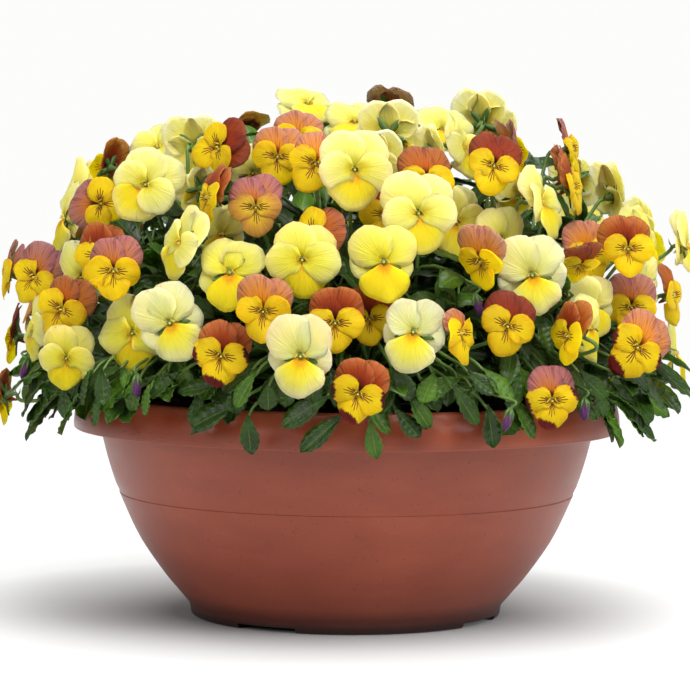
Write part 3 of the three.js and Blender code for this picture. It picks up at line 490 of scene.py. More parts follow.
def potFinish():
    finish = Finish("terracottaPlastic", {"Specular IOR Level": plastic["gloss"]})
    place = finish.place()
    height = finish.parts(place)[2]
    swirl = finish.noise(place, *plastic["swirl"], stretch=plastic["drawnOut"])
    colour = finish.ramp((finish.noise(place, *plastic["clouds"]) + swirl) * 0.5, plastic["tints"])
    start, sharp = plastic["collarFrom"]
    onCollar = ((height - start) * sharp).held()
    layers = {"collar": onCollar}
    for layer, (fine, detail, rough, start, sharp) in plastic["specks"].items():
        layers[layer] = ((finish.noise(place, fine, detail, rough) - start) * sharp).held()
    # the painted highlight shows only on the collar
    layers["paintedHighlight"] = layers["paintedHighlight"] * onCollar
    # painted shade: lower and foot darken the bowl below their heights, most at the floor
    for layer in ("lower", "foot"):
        start, sharp = plastic[layer + "From"]
        layers[layer] = ((start - height) * sharp).held()
    for layer in ("dust", "drops", "collar", "paintedHighlight", "lower", "foot"):
        strong, layerTint = plastic[layer]
        colour = finish.blend(layers[layer] * strong, colour, layerTint)
    rough = swirl * plastic["uneven"] + (plastic["rough"] - onCollar * plastic["polished"])
    finish.feed(finish.shader.inputs["Roughness"], rough)
    return finish.done(colour, finish.noise(place, plastic["grain"]) * 0.5 + swirl, *plastic["bump"])


compost = {
    "tints": [(0.3, tint(22, 15, 11)), (0.55, tint(46, 32, 23)), (0.78, tint(84, 62, 44))],
    "lumps": (260.0, 5.0, 0.65), "rough": 0.95, "gloss": 0.2, "bump": (0.9, 1.5),
}


def soilFinish():
    finish = Finish("pottingSoil", {"Roughness": compost["rough"], "Specular IOR Level": compost["gloss"]})
    lumps = finish.noise(finish.place(), *compost["lumps"])
    return finish.done(finish.ramp(lumps, compost["tints"]), lumps, *compost["bump"])


leafGreen = leafFinish("leafGreen", (12, 29, 3), (42, 74, 8), (78, 110, 26))
leafYoung = leafFinish("youngLeafGreen", (30, 60, 5), (72, 112, 14), (114, 142, 38))
stalkGreen = stemFinish("stalkGreen", (62, 92, 32), (102, 132, 56))
sepalGreen = stemFinish("sepalGreen", (50, 84, 32), (96, 128, 56))
stigmaCream = stemFinish("stigmaCream", (200, 170, 40), (222, 200, 80))
print("finishes ready")


bowl = {
    "foot": [(0, 0), (84.2, 0), (85, 0.5), (85.4, 1.4), (85.9, 4.6)],
    "wall": [
        (86.3, 6.5), (92.6, 13.8), (101, 24), (112.7, 41), (120.7, 57), (128.3, 76), (134, 96), (137.8, 116),
    ],
    "thick": 2.5,
    "floor": (80.8, 4),  # its radius inside, and how thick it is
    "partingAt": 67.5,  # height of the fine step in the wall
    "partingDeep": 0.3,
    "partingHigh": 1.6,
    # outwards from the wall, up from the middle of the step, and 1 from the step on
    "parting": [(-0.3, -0.9, 0), (-0.08, -0.3, 0), (-0.08, -0.1, 1), (0.22, 0.9, 1)],
    "round": 144,
    "sharp": 38,  # degrees from which an edge stays crisp
}
collar = {"bottomR": 150, "topR": 145, "bottomZ": 103, "topZ": 122.5, "thick": 2.4}
notch = {"turn": 24, "high": (-2, 2.5), "inner": 48, "outer": 92, "centres": [-30, 60, 150, 240]}
drain = {"r": 5, "at": 62, "round": 24, "high": (-4, 8)}  # high: from and to which height it is cut


def bowlProfile():
    outside = curveThrough([vec(r, 0, z) for r, z in bowl["wall"]], 5)
    at, step = bowl["partingAt"], bowl["partingDeep"]
    reach = float(np.interp(at, outside[:, 2], outside[:, 0]))
    wall = [(r, z) for r, _, z in outside if abs(z - at) >= bowl["partingHigh"]]
    wall += [(reach + out - step * above, at + up) for out, up, above in bowl["parting"]]
    wall.sort(key=lambda p: p[1])
    b, t, z0, z1, thick = (collar[key] for key in ("bottomR", "topR", "bottomZ", "topZ", "thick"))
    rim = [
        (139, 119), (t - thick - 0.5, 119.4), (t - thick, 118.4),
        (b - thick - 0.6, 109), (b - thick, z0 + 0.5), (b - thick + 0.4, z0),
        (b - 0.5, z0), (b, z0 + 0.5), (b + 0.15, z0 + 3), (b - 0.3, z0 + 8), (b - 1.1, z0 + 12),
        (t + 2.5, z1 - 4.2), (t + 1.5, z1 - 1.7), (t + 0.5, z1 - 0.5),
        (t - 1, z1), (t - 2.6, z1 - 0.1), (t - 3.6, z1 - 0.8),
    ]
    inside = curveThrough([vec(r - bowl["thick"], 0, z) for r, z in bowl["wall"][2:][::-1]], 3)
    return bowl["foot"] + wall + rim + [(r, z) for r, _, z in inside] + [bowl["floor"], (0, bowl["floor"][1])]


def latheOf(name, profile, count, closed=True, scale=mm):
    # turns a profile round the bowl's axis; a closed one starts and ends on the axis
    turned = [p for p in profile if p[0] > 0]
    turn = np.arange(count) * 2 * math.pi / count
    r, z = (np.array(column)[:, None] for column in zip(*turned))
    rings = np.stack([r * np.cos(turn), r * np.sin(turn), np.broadcast_to(z, (len(turned), count))], axis=-1)
    points = rings.reshape(-1, 3).tolist()
    rows = np.arange(len(points)).reshape(len(turned), count)
    faces = wallsBetween(rows)
    if closed:
        low, high = len(points), len(points) + 1
        points += [[0, 0, profile[0][1]], [0, 0, profile[-1][1]]]
        after = np.roll(rows, -1, axis=1)
        faces += [[low, after[0, j], rows[0, j]] for j in range(count)]
        faces += [[high, rows[-1, j], after[-1, j]] for j in range(count)]
    return addMesh(name, points, faces, scale)


def prismOf(name, corners, low, high):
    # an upright block over a flat outline, used as a cutter
    count = len(corners)
    faces = [list(range(count))[::-1], list(range(count, 2 * count))]
    faces += [[i, (i + 1) % count, (i + 1) % count + count, i + count] for i in range(count)]
    return addMesh(name, [(x, y, z) for z in (low, high) for x, y in corners], faces)


def cutAway(piece, cutters):
    for cutter in cutters:
        cut = piece.modifiers.new("cut", "BOOLEAN")
        cut.operation = "DIFFERENCE"
        cut.solver = "EXACT"
        cut.object = cutter
    graph = bpy.context.evaluated_depsgraph_get()
    piece.data = bpy.data.meshes.new_from_object(piece.evaluated_get(graph))
    piece.modifiers.clear()
    for cutter in cutters:
        bpy.data.objects.remove(cutter)


def fromFront(radius, turn):
    # a point round the axis, with its turn in degrees from the front
    return radius * math.sin(math.radians(turn)), -radius * math.cos(math.radians(turn))


def makeBowl():
    piece = latheOf("terracottaBowl", bowlProfile(), bowl["round"])
    cutters = []
    half = notch["turn"] / 2
    for k, centre in enumerate(notch["centres"]):
        outline = [fromFront(notch["outer"], centre + half * share) for share in (-1, -0.5, 0, 0.5, 1)]
        outline += [fromFront(notch["inner"], centre + turn) for turn in (half, -half)]
        cutters.append(prismOf(f"channel{k}", outline, *notch["high"]))
        x, y = fromFront(drain["at"], centre)
        ring = [onRing(drain["r"], math.radians(360 / drain["round"] * i), 0) for i in range(drain["round"])]
        cutters.append(prismOf(f"drain{k}", [(x + p[0], y + p[1]) for p in ring], *drain["high"]))
    cutAway(piece, cutters)
    piece.data.materials.clear()
    piece.data.materials.append(potFinish())
    piece.data.shade_smooth()
    piece.data.set_sharp_from_angle(angle=math.radians(bowl["sharp"]))
    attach(piece, "root")
    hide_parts("pot")


makeBowl()
print("bowl made")

soil = {
    "hidden": [(0, 4.3), (80.5, 4.3), (98.2, 24), (117.9, 57), (125.5, 76), (132.6, 104)],  # inside the bowl
    "top": (132.9, 106, 109),  # its radius, and its height at the edge and in the middle
    "steps": 26, "round": 96, "rough": 1.3, "swell": 0.45, "loose": 0.6,
    "still": (105.5, 131),  # points lower or further out than this stay as they are
    "waves": ((0.31, 1.3, 0.17), (0.27, 1.1, 0.23)),  # how close the swells lie, and how they wander
    "crumbs": 420, "crumbR": (1.0, 3.2), "crumbAt": (129, 107.6),
    "crumbFall": 0.012, "crumbUp": 0.35, "crumbSpin": 6.28, "crumbLoose": (0.7, 1.15), "crumbFlat": 0.7,
}


def makeSoil():
    draw = random.Random(5)
    reach, edge, middle = soil["top"]
    shares = [i / soil["steps"] for i in range(soil["steps"])]
    top = [(reach * (1 - share), edge + (middle - edge) * share) for share in shares]
    piece = latheOf("pottingSoil", soil["hidden"] + top + [(0, middle)], soil["round"])
    for point in piece.data.vertices:
        x, y, z = (c / mm for c in point.co)
        if z > soil["still"][0] and math.hypot(x, y) < soil["still"][1]:
            wave = 0
            for a, b, (close, stray, slow) in zip((x, y), (y, x), soil["waves"]):
                wave += math.sin(a * close + stray * math.sin(b * slow))
            rise = wave * soil["swell"] + draw.uniform(-soil["loose"], soil["loose"])
            point.co.z += rise * soil["rough"] * mm
    points = [list(point.co) for point in piece.data.vertices]
    faces = [list(face.vertices) for face in piece.data.polygons]
    ball = [(-1, 0, 0), (1, 0, 0), (0, -1, 0), (0, 1, 0), (0, 0, -1), (0, 0, 1)]
    ballFaces = [(0, 2, 5), (2, 1, 5), (1, 3, 5), (3, 0, 5), (2, 0, 4), (1, 2, 4), (3, 1, 4), (0, 3, 4)]
    reach, level = soil["crumbAt"]
    for _ in range(soil["crumbs"]):
        turn = draw.uniform(0, 2 * math.pi)
        out = reach * math.sqrt(draw.random())
        size = draw.uniform(*soil["crumbR"])
        middle = Vector(onRing(out, turn, level - out * soil["crumbFall"] + size * soil["crumbUp"]))
        first = len(points)
        spin = Matrix.Rotation(draw.uniform(0, soil["crumbSpin"]), 3, (draw.random(), draw.random(), 1))
        for corner in ball:
            lump = spin @ Vector(corner) * size * draw.uniform(*soil["crumbLoose"])
            points.append(list((middle + Vector((lump.x, lump.y, lump.z * soil["crumbFlat"]))) * mm))
        faces += [[first + i for i in face] for face in ballFaces]
    mesh = bpy.data.meshes.new("pottingSoil")
    mesh.from_pydata(points, [], faces)
    mesh.materials.append(soilFinish())
    piece.data = mesh
    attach(piece, "root")
    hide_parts("soil")


makeSoil()
print("soil made")

plantRing = {"count": 6, "radius": 82, "turn": 30}
headings = [math.radians(plantRing["turn"] + 60 * i) for i in range(plantRing["count"])]
plants = [vec(0, 0, 0)] + [onRing(plantRing["radius"], heading, 0) for heading in headings]

canopy = {"across": 188, "deep": 178, "high": 172, "foot": 105, "power": 2.5, "before": 230, "beyond": 320}
eye = vec(0, -1780, 260)
paleTones = ["pale", "pale", "cream", "lemon"]
goldenTones = ["rust", "peach", "mauve", "brown", "maroon", "rustTipped", "bronze"]
kinds = {
    # lengths of the petals and where they point, clockwise from the top
    "pale": {"upper": 21, "side": 18.5, "lip": 20.5, "aims": [31, 100, 180, 260, 329]},
    "golden": {"upper": 18.5, "side": 14, "lip": 15.5, "aims": [26, 88, 180, 272, 334]},
}


# how a bloom looks out where its row says nothing else
facing = {"turn": 0.15, "tip": 6, "level": 180, "rise": 0.08}


def bloomAt(x, z, tone, turn=None, tip=None, roll=0, back=0, size=1.0, squeezed=1.0):
    if turn is None:
        turn = x * facing["turn"]
    if tip is None:
        tip = facing["tip"] + (z - facing["level"]) * facing["rise"]
    return {
        "x": x, "z": z, "tone": tone, "kind": "pale" if tone in paleTones else "golden", "front": True,
        "turn": turn, "tip": tip, "roll": roll, "back": back, "size": size, "squeezed": squeezed,
    }


frontBlooms = [
    bloomAt(-133, 245, "rust", -125, 10), bloomAt(-109, 235, "pale", -10, 12, 30),
    bloomAt(-136, 220, "mauve", -15, None, -85), bloomAt(-150, 230, "pale", -60, back=25),
    bloomAt(-157, 217, "pale", -70, back=20), bloomAt(-106, 256, "pale", -30, 35, back=30),
    bloomAt(-139, 197, "rust", -20, back=14), bloomAt(-172, 184, "mauve", -30, roll=30),
    bloomAt(-188, 181, "mauve", -80), bloomAt(-127, 180, "mauve", -8),
    bloomAt(-156, 168, "brown", -20, roll=25), bloomAt(-154, 141, "lemon", -12, -4, 3, 0, 0.82),
    bloomAt(-122, 161, "lemon", -15, back=14), bloomAt(-173, 156, "pale", -70, size=0.9),
    bloomAt(-187, 145, "maroon", -90), bloomAt(-189, 130, "rust", -100, -10, squeezed=0.78),
    bloomAt(-94, 161, "cream", -5, roll=-25), bloomAt(-147, 186, "pale", -30, back=24),
    bloomAt(-92, 205, "pale", -60, roll=20), bloomAt(-84, 256, "pale", 165, 15, back=20),
    bloomAt(-85, 237, "pale", -150, back=20, size=0.8, squeezed=0.7),
    bloomAt(-71, 252, "maroon", -35, roll=70),
    bloomAt(-39, 251, "peach"), bloomAt(-24, 263, "peach", None, 25, back=26),
    bloomAt(-20, 242, "peach", roll=18), bloomAt(-77, 225, "rust", -65),
    bloomAt(-49, 221, "bronze", roll=-5), bloomAt(-17, 223, "brown", -30, 25, 70, 10),
    bloomAt(-64, 183, "lemon", None, 25), bloomAt(-54, 243, "pale", back=24, size=0.8),
    bloomAt(-71, 211, "pale", -40, back=20, size=0.8), bloomAt(-23, 281, "pale", 20, 55, back=30),
    bloomAt(-1, 270, "pale", None, 50, back=18), bloomAt(23, 264, "pale", 170, 10, back=10),
    bloomAt(18, 250, "pale", 150, back=16, size=0.8), bloomAt(52, 268, "pale", None, 45, back=22),
    bloomAt(2, 233, "pale", 10, 5), bloomAt(21, 226, "maroon", back=14),
    bloomAt(44, 233, "brown"), bloomAt(49, 254, "pale", 120, back=14, size=0.8),
    bloomAt(62, 257, "pale", 60, back=14, size=0.85), bloomAt(46, 212, "pale", 5, size=1.08),
    bloomAt(62, 222, "pale", 20, back=18), bloomAt(75, 235, "maroon", 8, roll=15),
    bloomAt(63, 199, "peach", -40, -20), bloomAt(74, 271, "pale", 150, 20, back=10),
    bloomAt(91, 256, "mauve", 110), bloomAt(106, 229, "pale", 65),
    bloomAt(122, 257, "mauve", 75), bloomAt(121, 241, "brown", 80, back=10),
    bloomAt(122, 225, "rust", 75), bloomAt(93, 230, "pale", 20, -40, back=22, size=0.75),
    bloomAt(151, 226, "pale", 115, back=15), bloomAt(147, 193, "rust", 10, roll=-5),
    bloomAt(163, 211, "lemon", 50, back=8), bloomAt(130, 193, "maroon", 20, -50, back=10, size=0.8),
    bloomAt(104, 180, "cream", 5, roll=-8, size=1.06), bloomAt(82, 163, "maroon", 5, roll=20),
    bloomAt(65, 157, "peach", 60, squeezed=0.66), bloomAt(32, 163, "cream", -8, roll=5, squeezed=0.85),
    bloomAt(17, 188, "lemon", 5, 12), bloomAt(-17, 189, "lemon", -4, 8),
    bloomAt(-44, 166, "peach", roll=5), bloomAt(-7, 163, "rust"),
    bloomAt(-67, 145, "rustTipped", -6, roll=8), bloomAt(-28, 146, "cream", -3, back=-8),
    bloomAt(3, 123, "rustTipped", 2, -4, 20, -4), bloomAt(115, 127, "mauveTipped", 8, squeezed=0.92),
    bloomAt(120, 154, "rust", -60), bloomAt(130, 157, "pale", 50, size=0.85),
    bloomAt(159, 149, "peachTipped", 15, roll=40, size=1.15), bloomAt(154, 175, "mauve", 10, back=14),
    bloomAt(177, 178, "brown", 70), bloomAt(182, 205, "pale", 70),
    bloomAt(163, 184, "pale", 30, back=24, size=0.8), bloomAt(139, 176, "pale", 20, back=20, size=0.8),
    bloomAt(13, 167, "rust", 10, back=14, size=0.9), bloomAt(84, 214, "pale", 20, back=16, size=0.85),
    bloomAt(131, 209, "peach", 30, back=12),
]


def canopyLevel(p):
    # 1 on the canopy's skin, less inside it
    level = math.hypot(p[0] / canopy["across"], p[1] / canopy["deep"]) ** canopy["power"]
    return level + max(0.0, (p[2] - canopy["foot"]) / canopy["high"]) ** canopy["power"]


def placeSeen(x, z, back=0.0):
    # where the line from the eye through (x, z) meets the canopy's skin
    line = unit(vec(x, 0, z) - eye)
    start = np.linalg.norm(eye) - canopy["before"]
    nearest = (math.inf, start)
    along = start
    while along < start + canopy["before"]:
        level = canopyLevel(eye + line * along)
        if level < nearest[0]:
            nearest = (level, along)
        if level <= 1:
            break
        along += 1
    return eye + line * (nearest[1] + back)


def outward(p):
    flat = vec(p[0] / canopy["across"], p[1] / canopy["deep"], 0)
    up = max(0.0, (p[2] - canopy["foot"]) / canopy["high"]) ** (canopy["power"] - 1)
    side = np.linalg.norm(flat) ** (canopy["power"] - 1)
    return unit(unit(flat) * side + vec(0, 0, up))


def skinAlong(direction):
    # the point of the canopy's skin that lies in this direction from the middle of its foot
    middle = vec(0, 0, canopy["foot"])
    near, far = 0.0, canopy["beyond"]
    for _ in range(24):  # halved until the rest is far too small to see
        half = (near + far) / 2
        if canopyLevel(middle + direction * half) < 1:
            near = half
        else:
            far = half
    return middle + direction * near


spread = {
    "tries": 420, "apart": 44, "behind": 18, "lowest": 125, "jitter": 10, "paleShare": 0.55,
    "turned": 70, "rolled": 60,
    "turn": 2.399963,  # radians from one try to the next
    "tipped": (-5, 25, 45),  # the least, the loose share, and more towards the top
}


def backBlooms(taken):
    draw = seeded(31)
    pick = random.Random(12)
    added = []
    least, freely, upwards = spread["tipped"]
    for i in range(spread["tries"]):
        level = 1 - (i + 0.5) / spread["tries"]
        tall = math.sqrt(max(0.0, 1 - (1 - level) ** 2))
        place = skinAlong(onRing(tall, i * spread["turn"], 1 - level))
        for axis in range(3):
            place[axis] += (draw() - 0.5) * spread["jitter"]
        kind = "pale" if draw() < spread["paleShare"] else "golden"
        turnOff = (draw() - 0.5) * spread["turned"]
        roll = (draw() - 0.5) * spread["rolled"]
        tipOff = draw() * freely + least
        if place[1] < spread["behind"] or place[2] < spread["lowest"]:
            continue
        if any(np.linalg.norm(bloom["place"] - place) < spread["apart"] for bloom in taken + added):
            continue
        out = outward(place)
        added.append({
            "place": place, "kind": kind, "turn": math.degrees(math.atan2(out[0], -out[1])) + turnOff,
            "tip": tipOff + upwards * out[2] ** 2, "roll": roll, "size": 1.0, "front": False, "squeezed": 1.0,
            "tone": pick.choice(paleTones if kind == "pale" else goldenTones),
        })
    return added


def poseBloom(bloom):
    turn, tip, roll = (math.radians(bloom[key]) for key in ("turn", "tip", "roll"))
    face = vec(math.sin(turn) * math.cos(tip), -math.cos(turn) * math.cos(tip), math.sin(tip))
    across = unit(np.cross(vec(0, 0, 1), face))
    up = np.cross(face, across)
    bloom["face"] = face
    bloom["top"] = up * math.cos(roll) + across * math.sin(roll)
    bloom["right"] = across * math.cos(roll) - up * math.sin(roll)
    bloom["reach"] = bloom["size"] * kinds[bloom["kind"]]["upper"]


settling = {
    "rounds": 90, "share": 0.5, "sideways": 0.4,
    "half": 8.5,  # room before and behind a bloom
    "near": 2 * 1.15 * 21,  # blooms further apart can't touch
}


def reachOf(bloom, direction):
    facing = abs(bloom["face"].dot(direction))
    aside = math.sqrt(max(0.0, 1 - facing * facing))
    return 1 / math.hypot(aside / bloom["reach"], facing / (settling["half"] * bloom["size"]))


def settle(blooms):
    # blooms that would touch move apart, mostly along the line of sight
    squash = vec(settling["sideways"], 1, settling["sideways"])
    for _ in range(settling["rounds"]):
        for i, one in enumerate(blooms):
            for other in blooms[i + 1:]:
                apart = other["place"] - one["place"]
                if max(abs(apart[0]), abs(apart[1]), abs(apart[2])) > settling["near"]:
                    continue
                distance = math.sqrt(apart.dot(apart))
                direction = apart / distance
                short = reachOf(one, direction) + reachOf(other, direction) - distance
                if short <= 0:
                    continue
                push = unit(direction * squash) * short * settling["share"]
                other["place"] += push
                one["place"] -= push


def listBlooms():
    for bloom in frontBlooms:
        bloom["place"] = placeSeen(bloom["x"], bloom["z"], bloom["back"])
    every = frontBlooms + backBlooms(frontBlooms)
    for bloom in every:
        poseBloom(bloom)
    settle(every)
    return every


sprayPlan = {"blooms": 3, "middle": 0.46, "towards": 0.9, "outwards": 2}


def plantOf(p):
    # the plant that a place in the canopy belongs to; the middle one is number 0
    if math.hypot(p[0] / canopy["across"], p[1] / canopy["deep"]) < sprayPlan["middle"]:
        return 0
    far = [plant * sprayPlan["outwards"] for plant in plants]
    return min(range(1, len(plants)), key=lambda i: math.hypot(far[i][0] - p[0], far[i][1] - p[1]))


def groupSprays(blooms):
    # neighbours of one kind share a stem, up to three on each
    sprays = []
    for i, plant in enumerate(plants):
        x, y, _ = plant * sprayPlan["towards"]
        for kind in ("pale", "golden"):
            own = [b for b in blooms if b["kind"] == kind and plantOf(b["place"]) == i]
            own.sort(key=lambda b: math.atan2(b["place"][1] - y, b["place"][0] - x))
            count = math.ceil(len(own) / sprayPlan["blooms"])
            cuts = [math.floor(k * len(own) / max(count, 1) + 0.5) for k in range(count + 1)]
            for first, last in zip(cuts, cuts[1:]):
                name = f"{kind}_spray_{len(sprays)}"
                sprays.append({"name": name, "plant": i, "kind": kind, "blooms": own[first:last]})
    return sprays


blooms = listBlooms()
sprays = groupSprays(blooms)
for number, bloom in enumerate(blooms):
    bloom["number"] = number
bloomPlaces, bloomFaces, bloomReach, bloomFront = (
    np.array([b[key] for b in blooms]) for key in ("place", "face", "reach", "front")
)
print("places found:", len(blooms), "blooms in", len(sprays), "sprays")

# the room that stalks and leaves leave to a bloom: before and behind it, round it, and as seen from the front
clear = {"deep": 4.0, "round": 0.85, "seen": 0.8, "before": 3}


def cutsBlooms(points, skip=()):
    # how many of the points lie inside the petals of a bloom
    off = points[:, None, :] - bloomPlaces[None]
    depth = (off * bloomFaces[None]).sum(axis=2)
    aside = np.sqrt(np.maximum((off**2).sum(axis=2) - depth**2, 0))
    inside = (np.abs(depth) < clear["deep"]) & (aside < clear["round"] * bloomReach[None])
    inside[:, list(skip)] = False
    return int(inside.sum())


def asSeen(points):
    # where points stand on the upright plane through the axis, as the eye sees them
    grow = -eye[1] / (points[:, 1] - eye[1])
    return np.stack([points[:, 0] * grow, eye[2] + (points[:, 2] - eye[2]) * grow], axis=1)


def hidesBloom(points):
    # whether a point stands before the face of a bloom at the front
    apart = np.linalg.norm(asSeen(points)[:, None] - asSeen(bloomPlaces)[None], axis=2)
    before = points[:, None, 1] < bloomPlaces[None, :, 1] + clear["before"]
    return bool(((apart < clear["seen"] * bloomReach[None]) & before & bloomFront[None]).any())


def fewestCuts(tries, attempt):
    # the first try that cuts no bloom, or else the one that cuts the fewest
    best = None
    for i in range(tries):
        cuts, made = attempt(i)
        if best is None or cuts < best[0]:
            best = (cuts, made)
        if cuts == 0:
            break
    return best[1]


petal = {
    "rows": 9, "cols": 15, "thick": 0.36, "thinner": 0.6,
    "claw": 0.1,  # where the petal starts, as a share of its length
    "length": (0.94, 1.05), "stray": 7, "wave": (0.7, 1.6), "open": (-0.08, 0.12),
    "ruffle": (3.4, 0.062),  # how many waves to a turn, and how deep
    "frill": (9, 0.028), "ripple": (11, 0.014), "curl": 0.08, "bow": 0.06, "twist": 0.16, "fold": 0.1,
    "tucked": 0.55,  # share of the pale blooms with their side petals tucked behind
    "tuckedShort": 0.88, "tuckedBack": 5.6,
    "phase": 6.3, "lobeShift": 0.6, "leanStray": 0.05, "curlStray": (0.3, 1.8), "foldStray": (-0.4, 1),
    "throat": (1.5, 3.0),  # how deep and how wide
}
petalOrder = [
    # right top, right, bottom, left and left top petal; a smaller layer lies further back
    {"long": "upper", "layer": -2.3, "lean": -0.12},
    {"long": "side", "layer": 0.9, "lean": 0.0},
    {"long": "lip", "layer": -0.2, "lean": 0.1},
    {"long": "side", "layer": 0.6, "lean": 0.0},
    {"long": "upper", "layer": -1.1, "lean": -0.08},
]
petalForms = {
    # fan: degrees to each side of the middle line; round: how fast the edge falls off; lobes along the edge
    "paleupper": {"fan": 76, "round": 0.62, "lobes": (3.0, 0.025), "shoulder": 0.0},
    "paleside": {"fan": 74, "round": 0.66, "lobes": (3.4, 0.02), "shoulder": 0.0},
    "palelip": {"fan": 60, "round": 0.4, "lobes": (6.2, 0.035), "shoulder": 0.14},
    "goldenupper": {"fan": 76, "round": 0.66, "lobes": (3.0, 0.025), "shoulder": 0.0},
    "goldenside": {"fan": 74, "round": 0.68, "lobes": (3.2, 0.02), "shoulder": 0.0},
    "goldenlip": {"fan": 62, "round": 0.6, "lobes": (5.4, 0.03), "shoulder": 0.1},
}
knob = {"ahead": (-2.2, -0.9, 0.0, 0.8, 1.3), "radii": (0.3, 0.5, 0.65, 0.5, 0.15), "down": 0.4}
beard = {
    "count": 3, "aside": (1.6, 0.5), "up": (0.9, 0.7), "sunk": 0.2, "radii": (0.45, 0.35, 0.1),
    "tip": (-0.3, 1.5, 0.3),  # from its root towards its side, forwards and down
}
spur = {"back": (1.5, 4.0, 6.6, 8.4), "down": (0.6, 1.6, 2.6, 3.4), "radii": (1.6, 1.3, 1.0, 0.4)}
sepal = {
    "count": 5, "wide": 1.7, "long": 9.5, "longer": (0.85, 1.1), "root": 1.2, "half": 0.2,
    "back": 3.4, "rise": (1.3, 0.9, 0.4),  # how far behind the petals, and how it curves out of its plane
    "stray": 8, "first": 36,
}


def toneFinishes(tone):
    # the finishes of the upper petals, the side petals and the lower one
    base = tone.replace("Tipped", "")
    if base in paleTones:
        names = (base + "Upper", base + "Side", base + "Lip")
    elif base == "bronze":
        names = ("mauveUpper", "bronzeSide", "bronzeSide")
    elif tone != base:
        names = (base + "Upper", "tippedSide", "tippedLip")
    else:
        names = (base + "Upper", "goldenSide", "goldenLip")
    return dict(zip(("upper", "side", "lip"), (petalFinishes[name] for name in names)))


def shapePetal(form, part, long, layer, wave, openness, draw):
    # x, y and z of a petal that points up, and how far each point lies outwards
    fan = math.radians(form["fan"])
    spans = np.linspace(-fan, fan, petal["cols"]), np.linspace(petal["claw"], 1, petal["rows"])
    theta, share = np.meshgrid(*spans)
    phase, phaseTwo = draw.uniform(0, petal["phase"]), draw.uniform(0, petal["phase"])
    (lobes, deep), (ripples, rippled) = form["lobes"], petal["ripple"]
    (ruffles, ruffled), (frills, frilled) = petal["ruffle"], petal["frill"]
    edge = np.cos(theta) ** form["round"] * (1 - form["shoulder"] * (theta / fan) ** 6)
    lobed = deep * np.cos(lobes * theta + petal["lobeShift"] * np.sin(phase))
    edge *= 1 + lobed + rippled * np.sin(ripples * theta + phaseTwo)
    far = share * edge
    x = long * far * np.sin(theta)
    y = long * far * np.cos(theta)
    lean = part["lean"] + openness + draw.uniform(-petal["leanStray"], petal["leanStray"])
    z = layer * np.minimum(far * 3, 1) + lean * y
    z += long * petal["bow"] * np.sin(math.pi * far)
    z -= long * petal["curl"] * draw.uniform(*petal["curlStray"]) * share**4 * (0.4 + np.abs(np.sin(theta)))
    z += long * ruffled * wave * share**3 * np.sin(ruffles * theta + phase)
    z += long * frilled * wave * share**4 * np.sin(frills * theta + phaseTwo)
    z += x * draw.uniform(-1, 1) * petal["twist"] * share
    z -= np.abs(x) * draw.uniform(*petal["foldStray"]) * petal["fold"] * share
    deep, wide = petal["throat"]
    z -= deep * np.exp(-((long * far / wide) ** 2))
    return x, y, z, share, theta / (2 * fan) + 0.5


def addBloom(skin, bloom, draw):
    kind = kinds[bloom["kind"]]
    finishes = toneFinishes(bloom["tone"])
    size, place, right, top, face = (bloom[key] for key in ("size", "place", "right", "top", "face"))

    def addPart(x, y, z, half, aim, maps, finish):
        # a thin part that points aim radians from the top, clockwise as seen from the face
        across = (x * math.cos(aim) + y * math.sin(aim))[..., None]
        upward = (y * math.cos(aim) - x * math.sin(aim))[..., None]
        flat = across * right + upward * top
        front, back = (place + size * (flat + depth[..., None] * face) for depth in (z + half, z - half))
        skin.addBlade(front, back, maps, finish)

    tucked = bloom["kind"] == "pale" and draw.random() < petal["tucked"]
    wave = draw.uniform(*petal["wave"])
    openness = draw.uniform(*petal["open"])
    for part, aim in zip(petalOrder, kind["aims"]):
        long = kind[part["long"]] * draw.uniform(*petal["length"])
        layer = part["layer"]
        if part["long"] == "upper":
            long *= bloom["squeezed"]  # a neighbour keeps the upper petals short
        if tucked and part["long"] == "side":
            long *= petal["tuckedShort"]
            layer -= petal["tuckedBack"]
        aim = math.radians(aim + draw.uniform(-petal["stray"], petal["stray"]))
        form = petalForms[bloom["kind"] + part["long"]]
        x, y, z, share, over = shapePetal(form, part, long, layer, wave, openness, draw)
        half = petal["thick"] / 2 * (1 - petal["thinner"] * share**3)
        addPart(x, y, z, half, aim, np.stack([over, share], axis=-1), finishes[part["long"]])

    def addRod(line, radii, sides, finish):
        skin.addTube(line, [radius * size for radius in radii], sides, finish)

    # knob in the throat with short white beards beside it
    line = [place + size * (face * d - top * knob["down"]) for d in knob["ahead"]]
    addRod(line, knob["radii"], 7, stigmaCream)
    (aside, more), (up, less), (inwards, ahead, down) = beard["aside"], beard["up"], beard["tip"]
    for side in (-1, 1):
        for k in range(beard["count"]):
            out = right * side * (aside + more * k) + top * (up - less * k)
            root = place + size * (out - face * beard["sunk"])
            tip = root + size * (right * side * inwards + face * ahead - top * down)
            addRod([root, (root + tip) / 2, tip], beard["radii"], 4, stigmaCream)

    # pointed sepals behind the petals, and the spur
    s, t = np.meshgrid(np.linspace(0, 1, 6), np.linspace(-1, 1, 3), indexing="ij")
    wide = sepal["wide"] * np.sin(math.pi * np.clip(s * 0.88 + 0.12, 0, 1)) ** 0.8 + 0.1
    up, back, hollow = sepal["rise"]
    depth = up * s - back * s * s + hollow * np.abs(t) - sepal["back"]
    for k in range(sepal["count"]):
        turn = sepal["first"] + 360 / sepal["count"] * k
        angle = math.radians(turn + draw.uniform(-sepal["stray"], sepal["stray"]))
        out = sepal["root"] + s * sepal["long"] * draw.uniform(*sepal["longer"])
        addPart(t * wide, out, depth, sepal["half"], angle, np.stack([t / 2 + 0.5, s], -1), sepalGreen)
    line = [place + size * (-face * d - top * h) for d, h in zip(spur["back"], spur["down"])]
    addRod(line, spur["radii"], 7, finishes["upper"])


